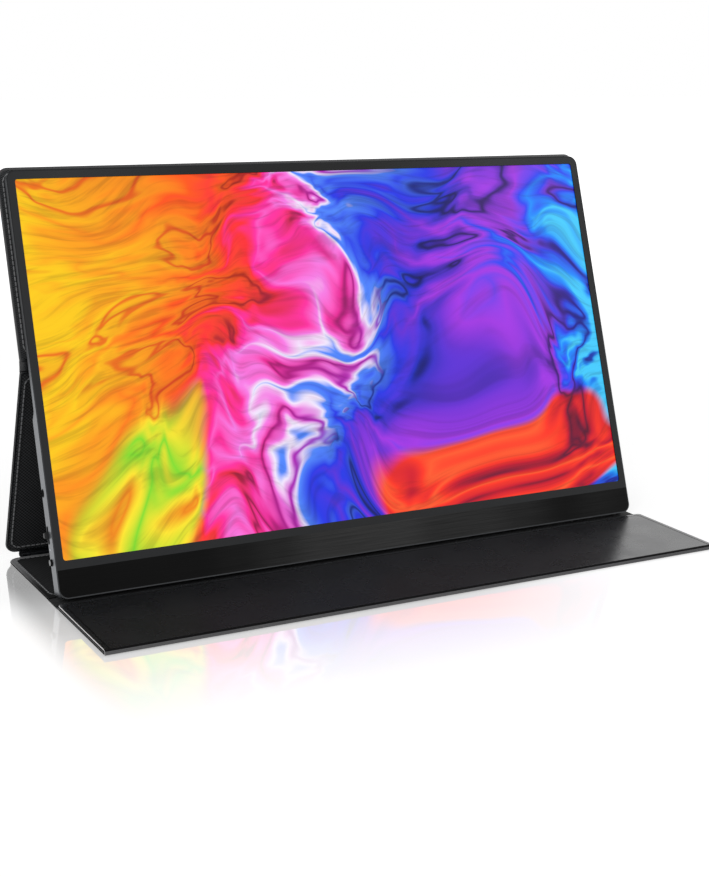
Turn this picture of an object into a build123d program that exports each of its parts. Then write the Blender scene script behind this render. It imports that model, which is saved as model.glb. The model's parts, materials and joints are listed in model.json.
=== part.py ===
from build123d import *
import math
import os

# Portable monitor that stands on its own folded cover, in millimetres.
# +X is to the viewer's right, +Y away from the viewer, +Z up. The desk is Z = 0.
# The origin lies on the desk, below the middle of the monitor's front bottom edge.

# Front of the monitor
ACTIVE_W = 344.2          # lit picture, 15.6 inch at 16:9
ACTIVE_H = 193.6
BEZEL_SIDE = 4.4          # picture to the monitor's side
BEZEL_TOP = 4.5
BEZEL_BAND = 4.4          # dark band between picture and chin bar
CHIN_H = 13.9
RIM = 0.6                 # case edge seen round the front plates
CORNER_R = 5.0
PICTURE_R = 1.5

# Layers of the monitor, front to back
BEZEL_T = 0.7
GLASS_T = 1.0
FILM_T = 0.4
GUIDE_T = 0.7
REFLECTOR_T = 0.3
TRAY_T = 0.4
TAPE_T = 0.5
CASE_WALL = 1.0
BAY_T = 3.8               # extra depth of the electronics bay low on the back
BAY_TOP = 91.0            # height of the bay's full depth, up the screen
RAMP_H = 4.0
RAMP_R = 3.0
RAMP_TOP_R = 0.9
BOTTOM_R = 3.4            # round of the back bottom edge
BACK_R = 1.8              # round of the other back edges

# Display module
MODULE_CLEAR = 0.2        # module to the case wall
MODULE_LOW = 12.5
TRAY_RIM = 0.4
FRAME_W = 1.6
GLASS_LEDGE = 2.5         # glass below the module's lower edge
LED_H = 2.2
LED_COUNT = 36
LED_W = 3.0
FLEX_T = 0.2
FLEX_W = 28.0
FLEX_DROP = 0.7           # flex below the glass edge
FLEX_R = 0.7
FLEX_COUNT = 4
SOURCE_H = 9.0
SOURCE_SIDE = 25.3        # module's side to the source board
SOURCE_T = 0.8
TAPE_W = 6.0
CHIN_POCKETS = 12
CHIN_POCKET_W = 22.0
STEEL_W = 120.0
STEEL_H = 34.0

# Electronics
PCB_T = 0.8
PCB_CLEAR = 0.6
MAIN_W = 98.0
MAIN_LOW = 26.0
MAIN_H = 56.0
SIDE_LOW = 10.0
SIDE_H = 52.0
SIDE_W = 24.0
SIDE_SET = 7.5            # side board's free edge from the case's side
CHIP_T = 0.9
SPREADER_T = 0.4
BOSS_R = 2.0
SCREW_R = 0.8
SCREW_HEAD_R = 1.6
SCREW_HEAD_T = 0.6
SCREW_FIT = 0.1
SCREW_LENGTH = 2.2        # shank below the board's face
MAIN_SCREW_SIDE = 7.0     # screws in from the main board's edges
MAIN_SCREW_END = 5.0
SIDE_SCREW_X = 8.0
SIDE_SCREW_Y = 44.0
SPEAKER_L = 42.0
SPEAKER_H = 15.0
SPEAKER_T = 3.2
SPEAKER_R = 3.0
CONE_L = 33.6
CONE_H = 10.8
CONE_DEPTH = 1.1
SPEAKER_SIDE = 63.5       # case wall to a speaker's middle
SPEAKER_LOW = 5.5
GRILLE_SLOTS = 8
GRILLE_PITCH = 4.0
GRILLE_L = 7.0
GRILLE_W = 1.4
LEAD_R = 0.5
LEAD_BEND = 7.0
LEAD_PITCH = 3.0
RIBBON_T = 0.3
RIBBON_W = 8.0
PLUG_L = 4.0

# Sockets and controls, heights up the screen
JACK_V = 53.6
JACK_R = 1.78
JACK_L = 12.0
JACK_H = 5.6
JACK_HOLE_R = 2.2
MENU_V = 32.5
MENU_HUB_SET = 3.9        # hub centre behind the case's side
MENU_HUB_R = 2.6
MENU_T = 1.9
MENU_OUT = 2.2            # lever tip beyond the case
MENU_ROOT = 4.0
MENU_TIP = 2.4
MENU_SLOT = 9.0
MENU_CLEAR = 0.35
MENU_PLAY = 0.12          # lever to its bracket's cheeks
MENU_PIN_R = 0.6
PIN_FIT = 0.06
BRACKET_T = 0.5
BRACKET_H = 4.0
LIGHT_V = 25.2
LIGHT_R = 0.7
LIGHT_FIT = 0.05
POWER_V = 18.8
POWER_R = 1.7
POWER_EDGE_R = 0.35
POWER_OUT = 1.0
POWER_FLANGE = 0.7
POWER_STEM_R = 0.9
POWER_TRAVEL = 0.5
POWER_CLEAR = 0.2
SWITCH_L = 3.2
SWITCH_H = 4.6
SWITCH_T = 3.0
USB_V = (38.0, 52.0)
USB_W = 8.9
USB_T = 3.2
USB_R = 1.55
HDMI_V = 66.5
HDMI_W = 11.2
HDMI_T = 3.3
HDMI_R = 0.8
SOCKET_L = 7.4
SOCKET_WALL = 0.3
SOCKET_CLEAR = 0.25
SOCKET_SET = 0.2          # mouth behind the case's side
TONGUE_T = 0.7
TONGUE_L = 6.2
TONGUE_SIDE = 1.2         # shell's outside to the tongue

# Cover
SKIN_T = 0.4
CARD_T = 0.6
LINING_T = 0.3
TURN_W = 0.6              # leather turned up round each card's edge
COVER_OVER = 2.9          # cover beyond the monitor at each side
COVER_RISE = 3.3          # cover beyond the monitor's top
COVER_R = 6.2
FOLD_R = 1.0              # corners beside a fold
TIP_R = 2.6
HALF_FOLD = 2.5           # bare leather each side of the back fold
PLATE_T = 1.8             # magnet plate between monitor and cover
PLATE_INSET = 9.0
MAGNET_R = 6.0
MAGNET_T = 1.2
MAGNET_COLUMNS = 4
TIP_MAGNET_R = 4.0
TIP_MAGNET_EDGE = 10.0
SPINE_INSET = 8.0         # spine narrower than the cover at each side

# Stance
TILT = 19.0               # screen back from upright
FOLD_V = 118.0            # fold between back panel and leg, up the screen
LEG_LEAN = 19.2
FOOT_Z = 3.2
SEAT_GAP = 0.3            # monitor's bottom over the groove
GROOVE_BACK = 1.7         # free groove behind the monitor
GROOVE_FRONT = 1.5        # free groove before the monitor
SPINE_SET = 5.0           # base's rear edge before the leg's foot
SPINE_R = 1.2             # bend of the spine where it meets the desk
FRONT_FOLD = 2.5          # bare leather between base and middle section
MIDDLE_D = 67.0
TIP_D = 66.4
FOLD_PLAY = 0.1           # between the two sections folded on each other

# Worked out from the above
tilt = math.radians(TILT)
lean = math.radians(LEG_LEAN)
MON_W = ACTIVE_W + 2 * BEZEL_SIDE
MON_H = RIM + CHIN_H + BEZEL_BAND + ACTIVE_H + BEZEL_TOP
MON_HALF = MON_W / 2
PICTURE_LOW = RIM + CHIN_H + BEZEL_BAND
PICTURE_MID = PICTURE_LOW + ACTIVE_H / 2
FILM_W0 = BEZEL_T + GLASS_T
GUIDE_W0 = FILM_W0 + FILM_T
REFLECTOR_W0 = GUIDE_W0 + GUIDE_T
TRAY_W0 = REFLECTOR_W0 + REFLECTOR_T
TRAY_BACK = TRAY_W0 + TRAY_T
THIN_IN = TRAY_BACK + TAPE_T
THIN_T = THIN_IN + CASE_WALL
THICK_T = THIN_T + BAY_T
THICK_IN = THICK_T - CASE_WALL
CASE_IN = MON_HALF - CASE_WALL
PORT_W = (TRAY_BACK + THICK_IN) / 2
PCB_FRONT = PORT_W - PCB_T / 2
PCB_BACK = PORT_W + PCB_T / 2
SECTION_T = SKIN_T + CARD_T + LINING_T
GROOVE_TOP = SKIN_T + LINING_T
COVER_HALF = MON_HALF + COVER_OVER
COVER_OUT = THIN_T + PLATE_T + SECTION_T
FOLD_W = COVER_OUT - SKIN_T / 2
EDGE_Z = (GROOVE_TOP + SEAT_GAP + BOTTOM_R * (1 - math.cos(tilt))
          + (THICK_T - BOTTOM_R) * math.sin(tilt))
CUT = 20.0                # overshoot of cutting tools

# Local axes: u across, v up the screen, w depth behind its front
face = Plane(origin=(0, 0, EDGE_Z), x_dir=(1, 0, 0), z_dir=(0, -math.cos(tilt), math.sin(tilt)))
side = Plane(origin=(0, 0, EDGE_Z), x_dir=(0, math.cos(tilt), -math.sin(tilt)), z_dir=(1, 0, 0))

FOLD_Y = FOLD_V * math.sin(tilt) + FOLD_W * math.cos(tilt)
FOLD_Z = EDGE_Z + FOLD_V * math.cos(tilt) - FOLD_W * math.sin(tilt)
LEG_L = (FOLD_Z - FOOT_Z) / math.cos(lean)
FOOT_Y = FOLD_Y + LEG_L * math.sin(lean)
BASE_REAR = FOOT_Y - SPINE_SET
CARD_FRONT = THICK_T * math.cos(tilt) + GROOVE_BACK
MIDDLE_REAR = -GROOVE_FRONT - FRONT_FOLD
FLAP_FOLD_Y = MIDDLE_REAR - MIDDLE_D
FLAP_FOLD_Z = SECTION_T + FOLD_PLAY / 2
TIP_TOP = 2 * FLAP_FOLD_Z

desk = Plane.XY
leg_skin_plane = Plane(origin=(0, FOLD_Y, FOLD_Z), x_dir=(1, 0, 0),
                       z_dir=(0, -math.cos(lean), -math.sin(lean))).offset(-SKIN_T / 2)
back_skin_plane = face.offset(-COVER_OUT)
tip_skin_plane = Plane(origin=(0, 0, TIP_TOP), x_dir=(1, 0, 0), z_dir=(0, 0, -1))


def save(piece, name):
    piece.part.label = name
    export_step(piece.part, f"parts/{name}.step")


def slab(name, depth, thick, u, v, corner=0.0):
    """A flat sheet parallel to the screen, from depth w = depth backwards."""
    with BuildPart() as sheet:
        with BuildSketch(face.offset(-depth)):
            with Locations(((u[0] + u[1]) / 2, (v[0] + v[1]) / 2)):
                if corner:
                    RectangleRounded(u[1] - u[0], v[1] - v[0], corner)
                else:
                    Rectangle(u[1] - u[0], v[1] - v[0])
        extrude(amount=-thick)
    save(sheet, name)


def depth_of(point):
    return -face.to_local_coords(point).Z


def monitor_outline(plane, inset):
    """The monitor's front outline, drawn smaller by inset."""
    with BuildSketch(plane) as shape:
        with Locations((0, MON_H / 2)):
            RectangleRounded(MON_W - 2 * inset, MON_H - 2 * inset, CORNER_R - inset)
    return shape.sketch


def back_profile(half, inset):
    """The monitor seen from its side, drawn smaller by inset and as wide as 2 * half."""
    low = inset
    high = MON_H - inset
    thick = THICK_T - inset
    thin = THIN_T - inset
    ramp = BAY_TOP - inset * math.tan(math.pi / 8)
    with BuildSketch(side.offset(-half)) as profile:
        with BuildLine():
            back = FilletPolyline((0, low), (thick, low), (thick, ramp), (thin, ramp + RAMP_H),
                                  (thin, high), (0, high),
                                  radius=(BOTTOM_R - inset, RAMP_R, RAMP_R, RAMP_TOP_R))
            Line(back @ 1, back @ 0)
        make_face()
    return profile.sketch


def outline(plane, low, high, low_r, high_r, inset=0.0):
    """A cover section's outline, drawn smaller by inset."""
    with BuildSketch(plane) as shape:
        with Locations((0, (low + high) / 2)):
            Rectangle(2 * (COVER_HALF - inset), high - low - 2 * inset)
        fillet(shape.vertices().group_by(Axis.Y)[0], low_r - inset)
        fillet(shape.vertices().group_by(Axis.Y)[-1], high_r - inset)
    return shape.sketch


def section(name, plane, low, high, low_r, high_r, magnets=()):
    """Leather turned up round a card, with a lining inside the turned edge."""
    with BuildPart() as skin:
        extrude(outline(plane, low, high, low_r, high_r), amount=SECTION_T)
        extrude(outline(plane.offset(SKIN_T), low, high, low_r, high_r, TURN_W), amount=SECTION_T,
                mode=Mode.SUBTRACT)
    save(skin, f"{name}_skin")
    with BuildPart() as card:
        extrude(outline(plane.offset(SKIN_T), low, high, low_r, high_r, TURN_W), amount=CARD_T)
        if magnets:
            with BuildSketch(plane.offset(SKIN_T)):
                with Locations(*magnets):
                    Circle(TIP_MAGNET_R)
            extrude(amount=CARD_T, mode=Mode.SUBTRACT)
    save(card, f"{name}_board")
    with BuildPart() as lining:
        extrude(outline(plane.offset(SKIN_T + CARD_T), low, high, low_r, high_r, TURN_W), amount=LINING_T)
    save(lining, f"{name}_lining")


def fold_strip(name, path, thick, half):
    """Bare leather at a fold: a path in the Y-Z plane, given thickness and width."""
    with BuildPart() as strip:
        with BuildSketch(Plane.YZ):
            trace(path, thick)
        extrude(amount=half, both=True)
    save(strip, name)


os.makedirs("parts", exist_ok=True)

# Rear cover: a tray with a deeper bay, ports in its walls and bosses for the boards
with BuildPart() as cavity:
    extrude(back_profile(CASE_IN, CASE_WALL), amount=2 * CASE_IN)
    extrude(monitor_outline(face, CASE_WALL), amount=-THICK_T, mode=Mode.INTERSECT)
    extrude(monitor_outline(face, RIM), amount=-BEZEL_T)

MAIN_MID_U = CASE_IN - PCB_CLEAR - MAIN_W / 2
MAIN_MID_V = MAIN_LOW + MAIN_H / 2
SIDE_EDGE = -MON_HALF + SIDE_SET
SIDE_MID_U = SIDE_EDGE + SIDE_W / 2
SIDE_MID_V = SIDE_LOW + SIDE_H / 2
MAIN_SCREW_MID = MAIN_MID_U - PCB_CLEAR - SOCKET_L / 2
MAIN_SCREWS = [(MAIN_SCREW_MID + x * (MAIN_W / 2 - MAIN_SCREW_SIDE),
                MAIN_MID_V + y * (MAIN_H / 2 - MAIN_SCREW_END))
               for x in (-1, 1) for y in (-1, 1)]
SIDE_SCREWS = [(SIDE_MID_U + SIDE_SCREW_X / 2, SIDE_MID_V + y * SIDE_SCREW_Y / 2) for y in (-1, 1)]
SCREWS = MAIN_SCREWS + SIDE_SCREWS
SPEAKER_X = CASE_IN - SPEAKER_SIDE
SPEAKER_MID_V = SPEAKER_LOW + SPEAKER_H / 2

with BuildPart() as rear_cover:
    extrude(back_profile(MON_HALF, 0.0), amount=MON_W)
    back_edges = [edge for edge in rear_cover.edges() if edge.length < MON_W - 1
                  and depth_of(edge.center()) > THIN_T - BACK_R]
    fillet(back_edges, BACK_R)
    extrude(monitor_outline(face, 0.0), amount=-THICK_T, mode=Mode.INTERSECT)
    add(cavity.part, mode=Mode.SUBTRACT)
    with BuildSketch(face.offset(-PCB_BACK)):
        with Locations(*SCREWS):
            Circle(BOSS_R)
    extrude(amount=-(THICK_IN - PCB_BACK))
    with BuildSketch(face.offset(-PCB_BACK)):
        with Locations(*SCREWS):
            Circle(SCREW_R + SCREW_FIT)
    extrude(amount=-(SCREW_LENGTH - PCB_T + SCREW_FIT), mode=Mode.SUBTRACT)
    with BuildSketch(side.offset(-MON_HALF)):
        with Locations((PORT_W, JACK_V)):
            Circle(JACK_HOLE_R)
        with Locations((PORT_W, MENU_V)):
            Rectangle(MENU_T + 2 * MENU_CLEAR, MENU_SLOT)
        with Locations((PORT_W, LIGHT_V)):
            Circle(LIGHT_R + LIGHT_FIT)
        with Locations((PORT_W, POWER_V)):
            Circle(POWER_R + POWER_CLEAR)
    extrude(amount=CASE_WALL, mode=Mode.SUBTRACT)
    with BuildSketch(side.offset(MON_HALF)):
        for usb_v in USB_V:
            with Locations((PORT_W, usb_v)):
                RectangleRounded(USB_T + 2 * SOCKET_CLEAR, USB_W + 2 * SOCKET_CLEAR, USB_R + SOCKET_CLEAR)
        with Locations((PORT_W, HDMI_V)):
            RectangleRounded(HDMI_T + 2 * SOCKET_CLEAR, HDMI_W + 2 * SOCKET_CLEAR, HDMI_R + SOCKET_CLEAR)
    extrude(amount=-CASE_WALL, mode=Mode.SUBTRACT)
    with BuildSketch(face.offset(-THICK_IN)):
        for speaker_x in (-SPEAKER_X, SPEAKER_X):
            with Locations((speaker_x, SPEAKER_MID_V)):
                with GridLocations(GRILLE_PITCH, 0, GRILLE_SLOTS, 1):
                    SlotOverall(GRILLE_L, GRILLE_W, rotation=90)
    extrude(amount=-CASE_WALL, mode=Mode.SUBTRACT)
save(rear_cover, "rear_cover")

# Front plates
with BuildPart() as front_bezel:
    extrude(monitor_outline(face, RIM), amount=-BEZEL_T)
    with BuildSketch(face):
        with Locations((0, PICTURE_MID)):
            RectangleRounded(ACTIVE_W, ACTIVE_H, PICTURE_R)
        with Locations((0, (RIM + CHIN_H) / 2)):
            Rectangle(MON_W, RIM + CHIN_H)
    extrude(amount=-BEZEL_T, mode=Mode.SUBTRACT)
save(front_bezel, "front_bezel")

with BuildPart() as chin_bar:
    extrude(monitor_outline(face, RIM), amount=-BEZEL_T)
    with BuildSketch(face):
        with Locations((0, (RIM + CHIN_H + MON_H) / 2)):
            Rectangle(MON_W, MON_H - RIM - CHIN_H)
    extrude(amount=-BEZEL_T, mode=Mode.SUBTRACT)
save(chin_bar, "chin_bar")

# Display module, front to back
GLASS_LOW = MODULE_LOW - GLASS_LEDGE
MODULE_HALF = CASE_IN - MODULE_CLEAR
MODULE_HIGH = MON_H - CASE_WALL - MODULE_CLEAR
MODULE_MID = (MODULE_LOW + MODULE_HIGH) / 2
FRAME_OUT = MODULE_HALF - TRAY_RIM
FRAME_LOW = MODULE_LOW + TRAY_RIM
FRAME_HIGH = MODULE_HIGH - TRAY_RIM
SHEET_HALF = FRAME_OUT - FRAME_W
SHEET_LOW = FRAME_LOW + FRAME_W
SHEET_HIGH = FRAME_HIGH - FRAME_W
SHEET_U = (-SHEET_HALF, SHEET_HALF)
INNER_R = CORNER_R - CASE_WALL - MODULE_CLEAR
CHIN_BACK = FILM_W0 + FILM_T
CHIN_TOP = GLASS_LOW - FLEX_DROP - 2 * FLEX_T

slab("lcd_glass", BEZEL_T, GLASS_T, (-MODULE_HALF, MODULE_HALF), (GLASS_LOW, MODULE_HIGH), INNER_R)
slab("optical_films", FILM_W0, FILM_T, SHEET_U, (SHEET_LOW, SHEET_HIGH))
slab("light_guide", GUIDE_W0, GUIDE_T, SHEET_U, (SHEET_LOW + LED_H, SHEET_HIGH))
slab("reflector_sheet", REFLECTOR_W0, REFLECTOR_T, SHEET_U, (SHEET_LOW, SHEET_HIGH))

with BuildPart() as panel_frame:
    with BuildSketch(face.offset(-FILM_W0)):
        with Locations((0, MODULE_MID)):
            RectangleRounded(2 * FRAME_OUT, FRAME_HIGH - FRAME_LOW, INNER_R - TRAY_RIM)
            Rectangle(2 * SHEET_HALF, SHEET_HIGH - SHEET_LOW, mode=Mode.SUBTRACT)
    extrude(amount=-(TRAY_W0 - FILM_W0))
save(panel_frame, "panel_frame")

with BuildPart() as backlight_tray:
    with BuildSketch(face.offset(-FILM_W0)):
        with Locations((0, MODULE_MID)):
            RectangleRounded(2 * MODULE_HALF, MODULE_HIGH - MODULE_LOW, INNER_R)
    extrude(amount=-(TRAY_BACK - FILM_W0))
    with BuildSketch(face.offset(-FILM_W0)):
        with Locations((0, MODULE_MID)):
            RectangleRounded(2 * FRAME_OUT, FRAME_HIGH - FRAME_LOW, INNER_R - TRAY_RIM)
    extrude(amount=-(TRAY_W0 - FILM_W0), mode=Mode.SUBTRACT)
save(backlight_tray, "backlight_tray")

with BuildPart() as led_strip:
    with BuildSketch(face.offset(-(GUIDE_W0 + GUIDE_T / 2))):
        with Locations((0, SHEET_LOW + LED_H / 2)):
            Rectangle(2 * SHEET_HALF, LED_H)
    extrude(amount=-GUIDE_T / 2)
    with BuildSketch(face.offset(-GUIDE_W0)):
        with Locations((0, SHEET_LOW + LED_H * 3 / 4)):
            with GridLocations(2 * SHEET_HALF / LED_COUNT, 0, LED_COUNT, 1):
                Rectangle(LED_W, LED_H / 2)
    extrude(amount=-GUIDE_T / 2)
save(led_strip, "led_strip")

SOURCE_TOP = MODULE_LOW + SOURCE_H
SOURCE_W = 2 * (MODULE_HALF - SOURCE_SIDE)
slab("source_board", TRAY_BACK, SOURCE_T, (-SOURCE_W / 2, SOURCE_W / 2), (MODULE_LOW, SOURCE_TOP))

# Film tabs that fold round the module's lower edge, from the glass to the source board
FLEX_FRONT = FILM_W0 + FLEX_T / 2
FLEX_BACK = TRAY_BACK + SOURCE_T + FLEX_T / 2
FLEX_LOW = GLASS_LOW - FLEX_DROP
with BuildLine() as flex_path:
    FilletPolyline((FLEX_FRONT, MODULE_LOW), (FLEX_FRONT, FLEX_LOW), (FLEX_BACK, FLEX_LOW),
                   (FLEX_BACK, MODULE_LOW + SOURCE_H / 2), radius=FLEX_R)
with BuildPart() as panel_flex:
    for flex_index in range(FLEX_COUNT):
        flex_u = (flex_index - (FLEX_COUNT - 1) / 2) * SOURCE_W / FLEX_COUNT - FLEX_W / 2
        with BuildSketch(side.offset(flex_u)):
            trace(flex_path.line, FLEX_T)
        extrude(amount=FLEX_W)
save(panel_flex, "panel_flex")

# Foam and steel between the module and the rear cover
TAPE_LOW = BAY_TOP + RAMP_H + TAPE_W
TAPE_HIGH = MODULE_HIGH - INNER_R
STEEL_LOW = TAPE_HIGH - TAPE_W - STEEL_H - TAPE_W
with BuildPart() as panel_tape:
    with BuildSketch(face.offset(-TRAY_BACK)):
        for tape_u in (-1, 1):
            with Locations((tape_u * (MODULE_HALF - INNER_R - TAPE_W / 2), (TAPE_LOW + TAPE_HIGH) / 2)):
                Rectangle(TAPE_W, TAPE_HIGH - TAPE_LOW)
        with Locations((0, TAPE_HIGH - TAPE_W / 2)):
            Rectangle(2 * (MODULE_HALF - INNER_R - 2 * TAPE_W), TAPE_W)
    extrude(amount=-TAPE_T)
save(panel_tape, "panel_tape")

with BuildPart() as steel_plates:
    with BuildSketch(face.offset(-TRAY_BACK)):
        with Locations((0, STEEL_LOW + STEEL_H / 2)):
            with GridLocations(SHEET_HALF, 0, 2, 1):
                RectangleRounded(STEEL_W, STEEL_H, TAPE_W / 2)
    extrude(amount=-TAPE_T)
save(steel_plates, "steel_plates")

with BuildPart() as chin_carrier:
    extrude(monitor_outline(face.offset(-BEZEL_T), CASE_WALL), amount=-(CHIN_BACK - BEZEL_T))
    with BuildSketch(face.offset(-BEZEL_T)):
        with Locations((0, (CHIN_TOP + MON_H) / 2)):
            Rectangle(MON_W, MON_H - CHIN_TOP)
    extrude(amount=-(CHIN_BACK - BEZEL_T), mode=Mode.SUBTRACT)
    with BuildSketch(face.offset(-CHIN_BACK)):
        with Locations((0, (CASE_WALL + CHIN_TOP) / 2)):
            with GridLocations(2 * CASE_IN / (CHIN_POCKETS + 1), 0, CHIN_POCKETS, 1):
                RectangleRounded(CHIN_POCKET_W, (CHIN_TOP - CASE_WALL) / 2, BEZEL_T)
    extrude(amount=(CHIN_BACK - BEZEL_T) / 2, mode=Mode.SUBTRACT)
save(chin_carrier, "chin_carrier")

# Main board, its chips and sockets at the right side
MAIN_EDGE = CASE_IN - PCB_CLEAR
SOCKET_MOUTH = MON_HALF - SOCKET_SET
SOCKET_END = SOCKET_MOUTH - SOCKET_L
SOCKETS = [(usb_v, USB_W) for usb_v in USB_V] + [(HDMI_V, HDMI_W)]
with BuildPart() as main_board:
    with BuildSketch(face.offset(-PCB_FRONT)):
        with Locations((MAIN_MID_U, MAIN_MID_V)):
            Rectangle(MAIN_W, MAIN_H)
        for socket_v, socket_w in SOCKETS:
            with Locations(((SOCKET_END + MAIN_EDGE) / 2, socket_v)):
                Rectangle(MAIN_EDGE - SOCKET_END, socket_w, mode=Mode.SUBTRACT)
        with Locations(*MAIN_SCREWS):
            Circle(SCREW_R + 2 * SCREW_FIT, mode=Mode.SUBTRACT)
    extrude(amount=-PCB_T)
save(main_board, "main_board")

CHIPS = [(-30.0, 4.0, 14.0, 14.0), (-6.0, 8.0, 12.0, 12.0), (14.0, -12.0, 8.0, 10.0),
         (-28.0, -14.0, 9.0, 6.0), (-4.0, -14.0, 6.0, 5.0), (20.0, 12.0, 5.0, 9.0),
         (-14.0, -18.0, 4.0, 4.0)]
with BuildPart() as main_chips:
    for chip_u, chip_v, chip_w, chip_h in CHIPS:
        with BuildSketch(face.offset(-PCB_FRONT)):
            with Locations((MAIN_MID_U + chip_u, MAIN_MID_V + chip_v)):
                Rectangle(chip_w, chip_h)
        extrude(amount=CHIP_T)
save(main_chips, "main_chips")

SPREADER_U = (MAIN_MID_U + CHIPS[0][0] - CHIPS[0][2] / 2, MAIN_MID_U + CHIPS[1][0] + CHIPS[1][2])
SPREADER_V = (MAIN_MID_V - CHIPS[0][3] / 4, MAIN_MID_V + CHIPS[1][1] + CHIPS[1][3] / 2)
slab("heat_spreader", PCB_FRONT - CHIP_T - SPREADER_T, SPREADER_T, SPREADER_U, SPREADER_V)


def socket(name, v, width, height, corner):
    """A metal shell open at the case's side, with a contact tongue on its back wall."""
    with BuildPart() as shell:
        with BuildSketch(side.offset(SOCKET_MOUTH)):
            with Locations((PORT_W, v)):
                RectangleRounded(height, width, corner)
        extrude(amount=-SOCKET_L)
        with BuildSketch(side.offset(SOCKET_MOUTH)):
            with Locations((PORT_W, v)):
                RectangleRounded(height - 2 * SOCKET_WALL, width - 2 * SOCKET_WALL, corner - SOCKET_WALL)
        extrude(amount=-(SOCKET_L - 3 * SOCKET_WALL), mode=Mode.SUBTRACT)
        with BuildSketch(side.offset(SOCKET_END)):
            with Locations((PORT_W, v)):
                Rectangle(TONGUE_T, width - 2 * TONGUE_SIDE)
        extrude(amount=TONGUE_L)
    save(shell, name)


socket("usb_c_socket_lower", USB_V[0], USB_W, USB_T, USB_R)
socket("usb_c_socket_upper", USB_V[1], USB_W, USB_T, USB_R)
socket("hdmi_socket", HDMI_V, HDMI_W, HDMI_T, HDMI_R)

# Side board, jack, switches and status light at the left side
JACK_MOUTH = -CASE_IN
JACK_END = JACK_MOUTH + JACK_L
JACK_T = THICK_IN - TRAY_BACK - SCREW_FIT
HUB_U = -MON_HALF + MENU_HUB_SET
BRACKET_OUT = HUB_U - MENU_PIN_R - BRACKET_T
BRACKET_BACK = HUB_U + MENU_HUB_R + MENU_CLEAR
BRACKET_END = BRACKET_BACK + SIDE_SET / 2
BRACKET_W = MENU_T + 2 * MENU_PLAY + 2 * BRACKET_T
STEM_END = -CASE_IN + POWER_FLANGE + POWER_CLEAR + 2 * BRACKET_T
SWITCH_FACE = STEM_END + POWER_TRAVEL + PIN_FIT + BRACKET_T
SWITCH_END = max(SWITCH_FACE + SWITCH_L, SIDE_EDGE)
NOTCHES = [(JACK_END, JACK_V, JACK_H), (BRACKET_END, MENU_V, BRACKET_H), (SWITCH_END, POWER_V, SWITCH_H)]
with BuildPart() as side_board:
    with BuildSketch(face.offset(-PCB_FRONT)):
        with Locations((SIDE_MID_U, SIDE_MID_V)):
            Rectangle(SIDE_W, SIDE_H)
        for notch_end, notch_v, notch_h in NOTCHES:
            with Locations(((SIDE_EDGE - CUT + notch_end) / 2, notch_v)):
                Rectangle(notch_end - SIDE_EDGE + CUT, notch_h, mode=Mode.SUBTRACT)
        with Locations(*SIDE_SCREWS):
            Circle(SCREW_R + 2 * SCREW_FIT, mode=Mode.SUBTRACT)
    extrude(amount=-PCB_T)
save(side_board, "side_board")

with BuildPart() as audio_jack:
    with BuildSketch(side.offset(JACK_MOUTH)):
        with Locations((PORT_W, JACK_V)):
            Rectangle(JACK_T, JACK_H)
    extrude(amount=JACK_L)
    with BuildSketch(side.offset(JACK_MOUTH)):
        with Locations((PORT_W, JACK_V)):
            Circle(JACK_R)
    extrude(amount=JACK_L - BRACKET_T, mode=Mode.SUBTRACT)
save(audio_jack, "audio_jack")

LEVER_END = -MON_HALF - MENU_OUT
with BuildPart() as menu_lever:
    with BuildSketch(face.offset(-(PORT_W - MENU_T / 2))) as lever_shape:
        with Locations((HUB_U, MENU_V)):
            Circle(MENU_HUB_R)
        with BuildLine():
            Polyline((HUB_U, MENU_V + MENU_ROOT / 2), (-MON_HALF, MENU_V + MENU_ROOT / 2),
                     (LEVER_END, MENU_V + MENU_TIP / 2), (LEVER_END, MENU_V - MENU_TIP / 2),
                     (-MON_HALF, MENU_V - MENU_ROOT / 2), (HUB_U, MENU_V - MENU_ROOT / 2), close=True)
        make_face()
        with Locations((HUB_U, MENU_V)):
            Circle(MENU_PIN_R + PIN_FIT, mode=Mode.SUBTRACT)
        fillet(lever_shape.vertices().group_by(Axis.X)[0], MENU_TIP / 4)
    extrude(amount=-MENU_T)
save(menu_lever, "menu_lever")

with BuildPart() as menu_switch:
    with BuildSketch(face.offset(-(PORT_W - BRACKET_W / 2))):
        with Locations(((BRACKET_OUT + BRACKET_END) / 2, MENU_V)):
            Rectangle(BRACKET_END - BRACKET_OUT, BRACKET_H)
    extrude(amount=-BRACKET_W)
    with BuildSketch(face.offset(-(PORT_W - BRACKET_W / 2 + BRACKET_T))):
        with Locations(((BRACKET_OUT + BRACKET_BACK) / 2, MENU_V)):
            Rectangle(BRACKET_BACK - BRACKET_OUT, BRACKET_H)
    extrude(amount=-(BRACKET_W - 2 * BRACKET_T), mode=Mode.SUBTRACT)
    with BuildSketch(face.offset(-(PORT_W - BRACKET_W / 2))):
        with Locations((HUB_U, MENU_V)):
            Circle(MENU_PIN_R)
    extrude(amount=-BRACKET_W)
save(menu_switch, "menu_switch")

with BuildPart() as status_light:
    with BuildSketch(side.offset(-MON_HALF)):
        with Locations((PORT_W, LIGHT_V)):
            Circle(LIGHT_R)
    extrude(amount=SIDE_SET)
save(status_light, "status_light")

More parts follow.
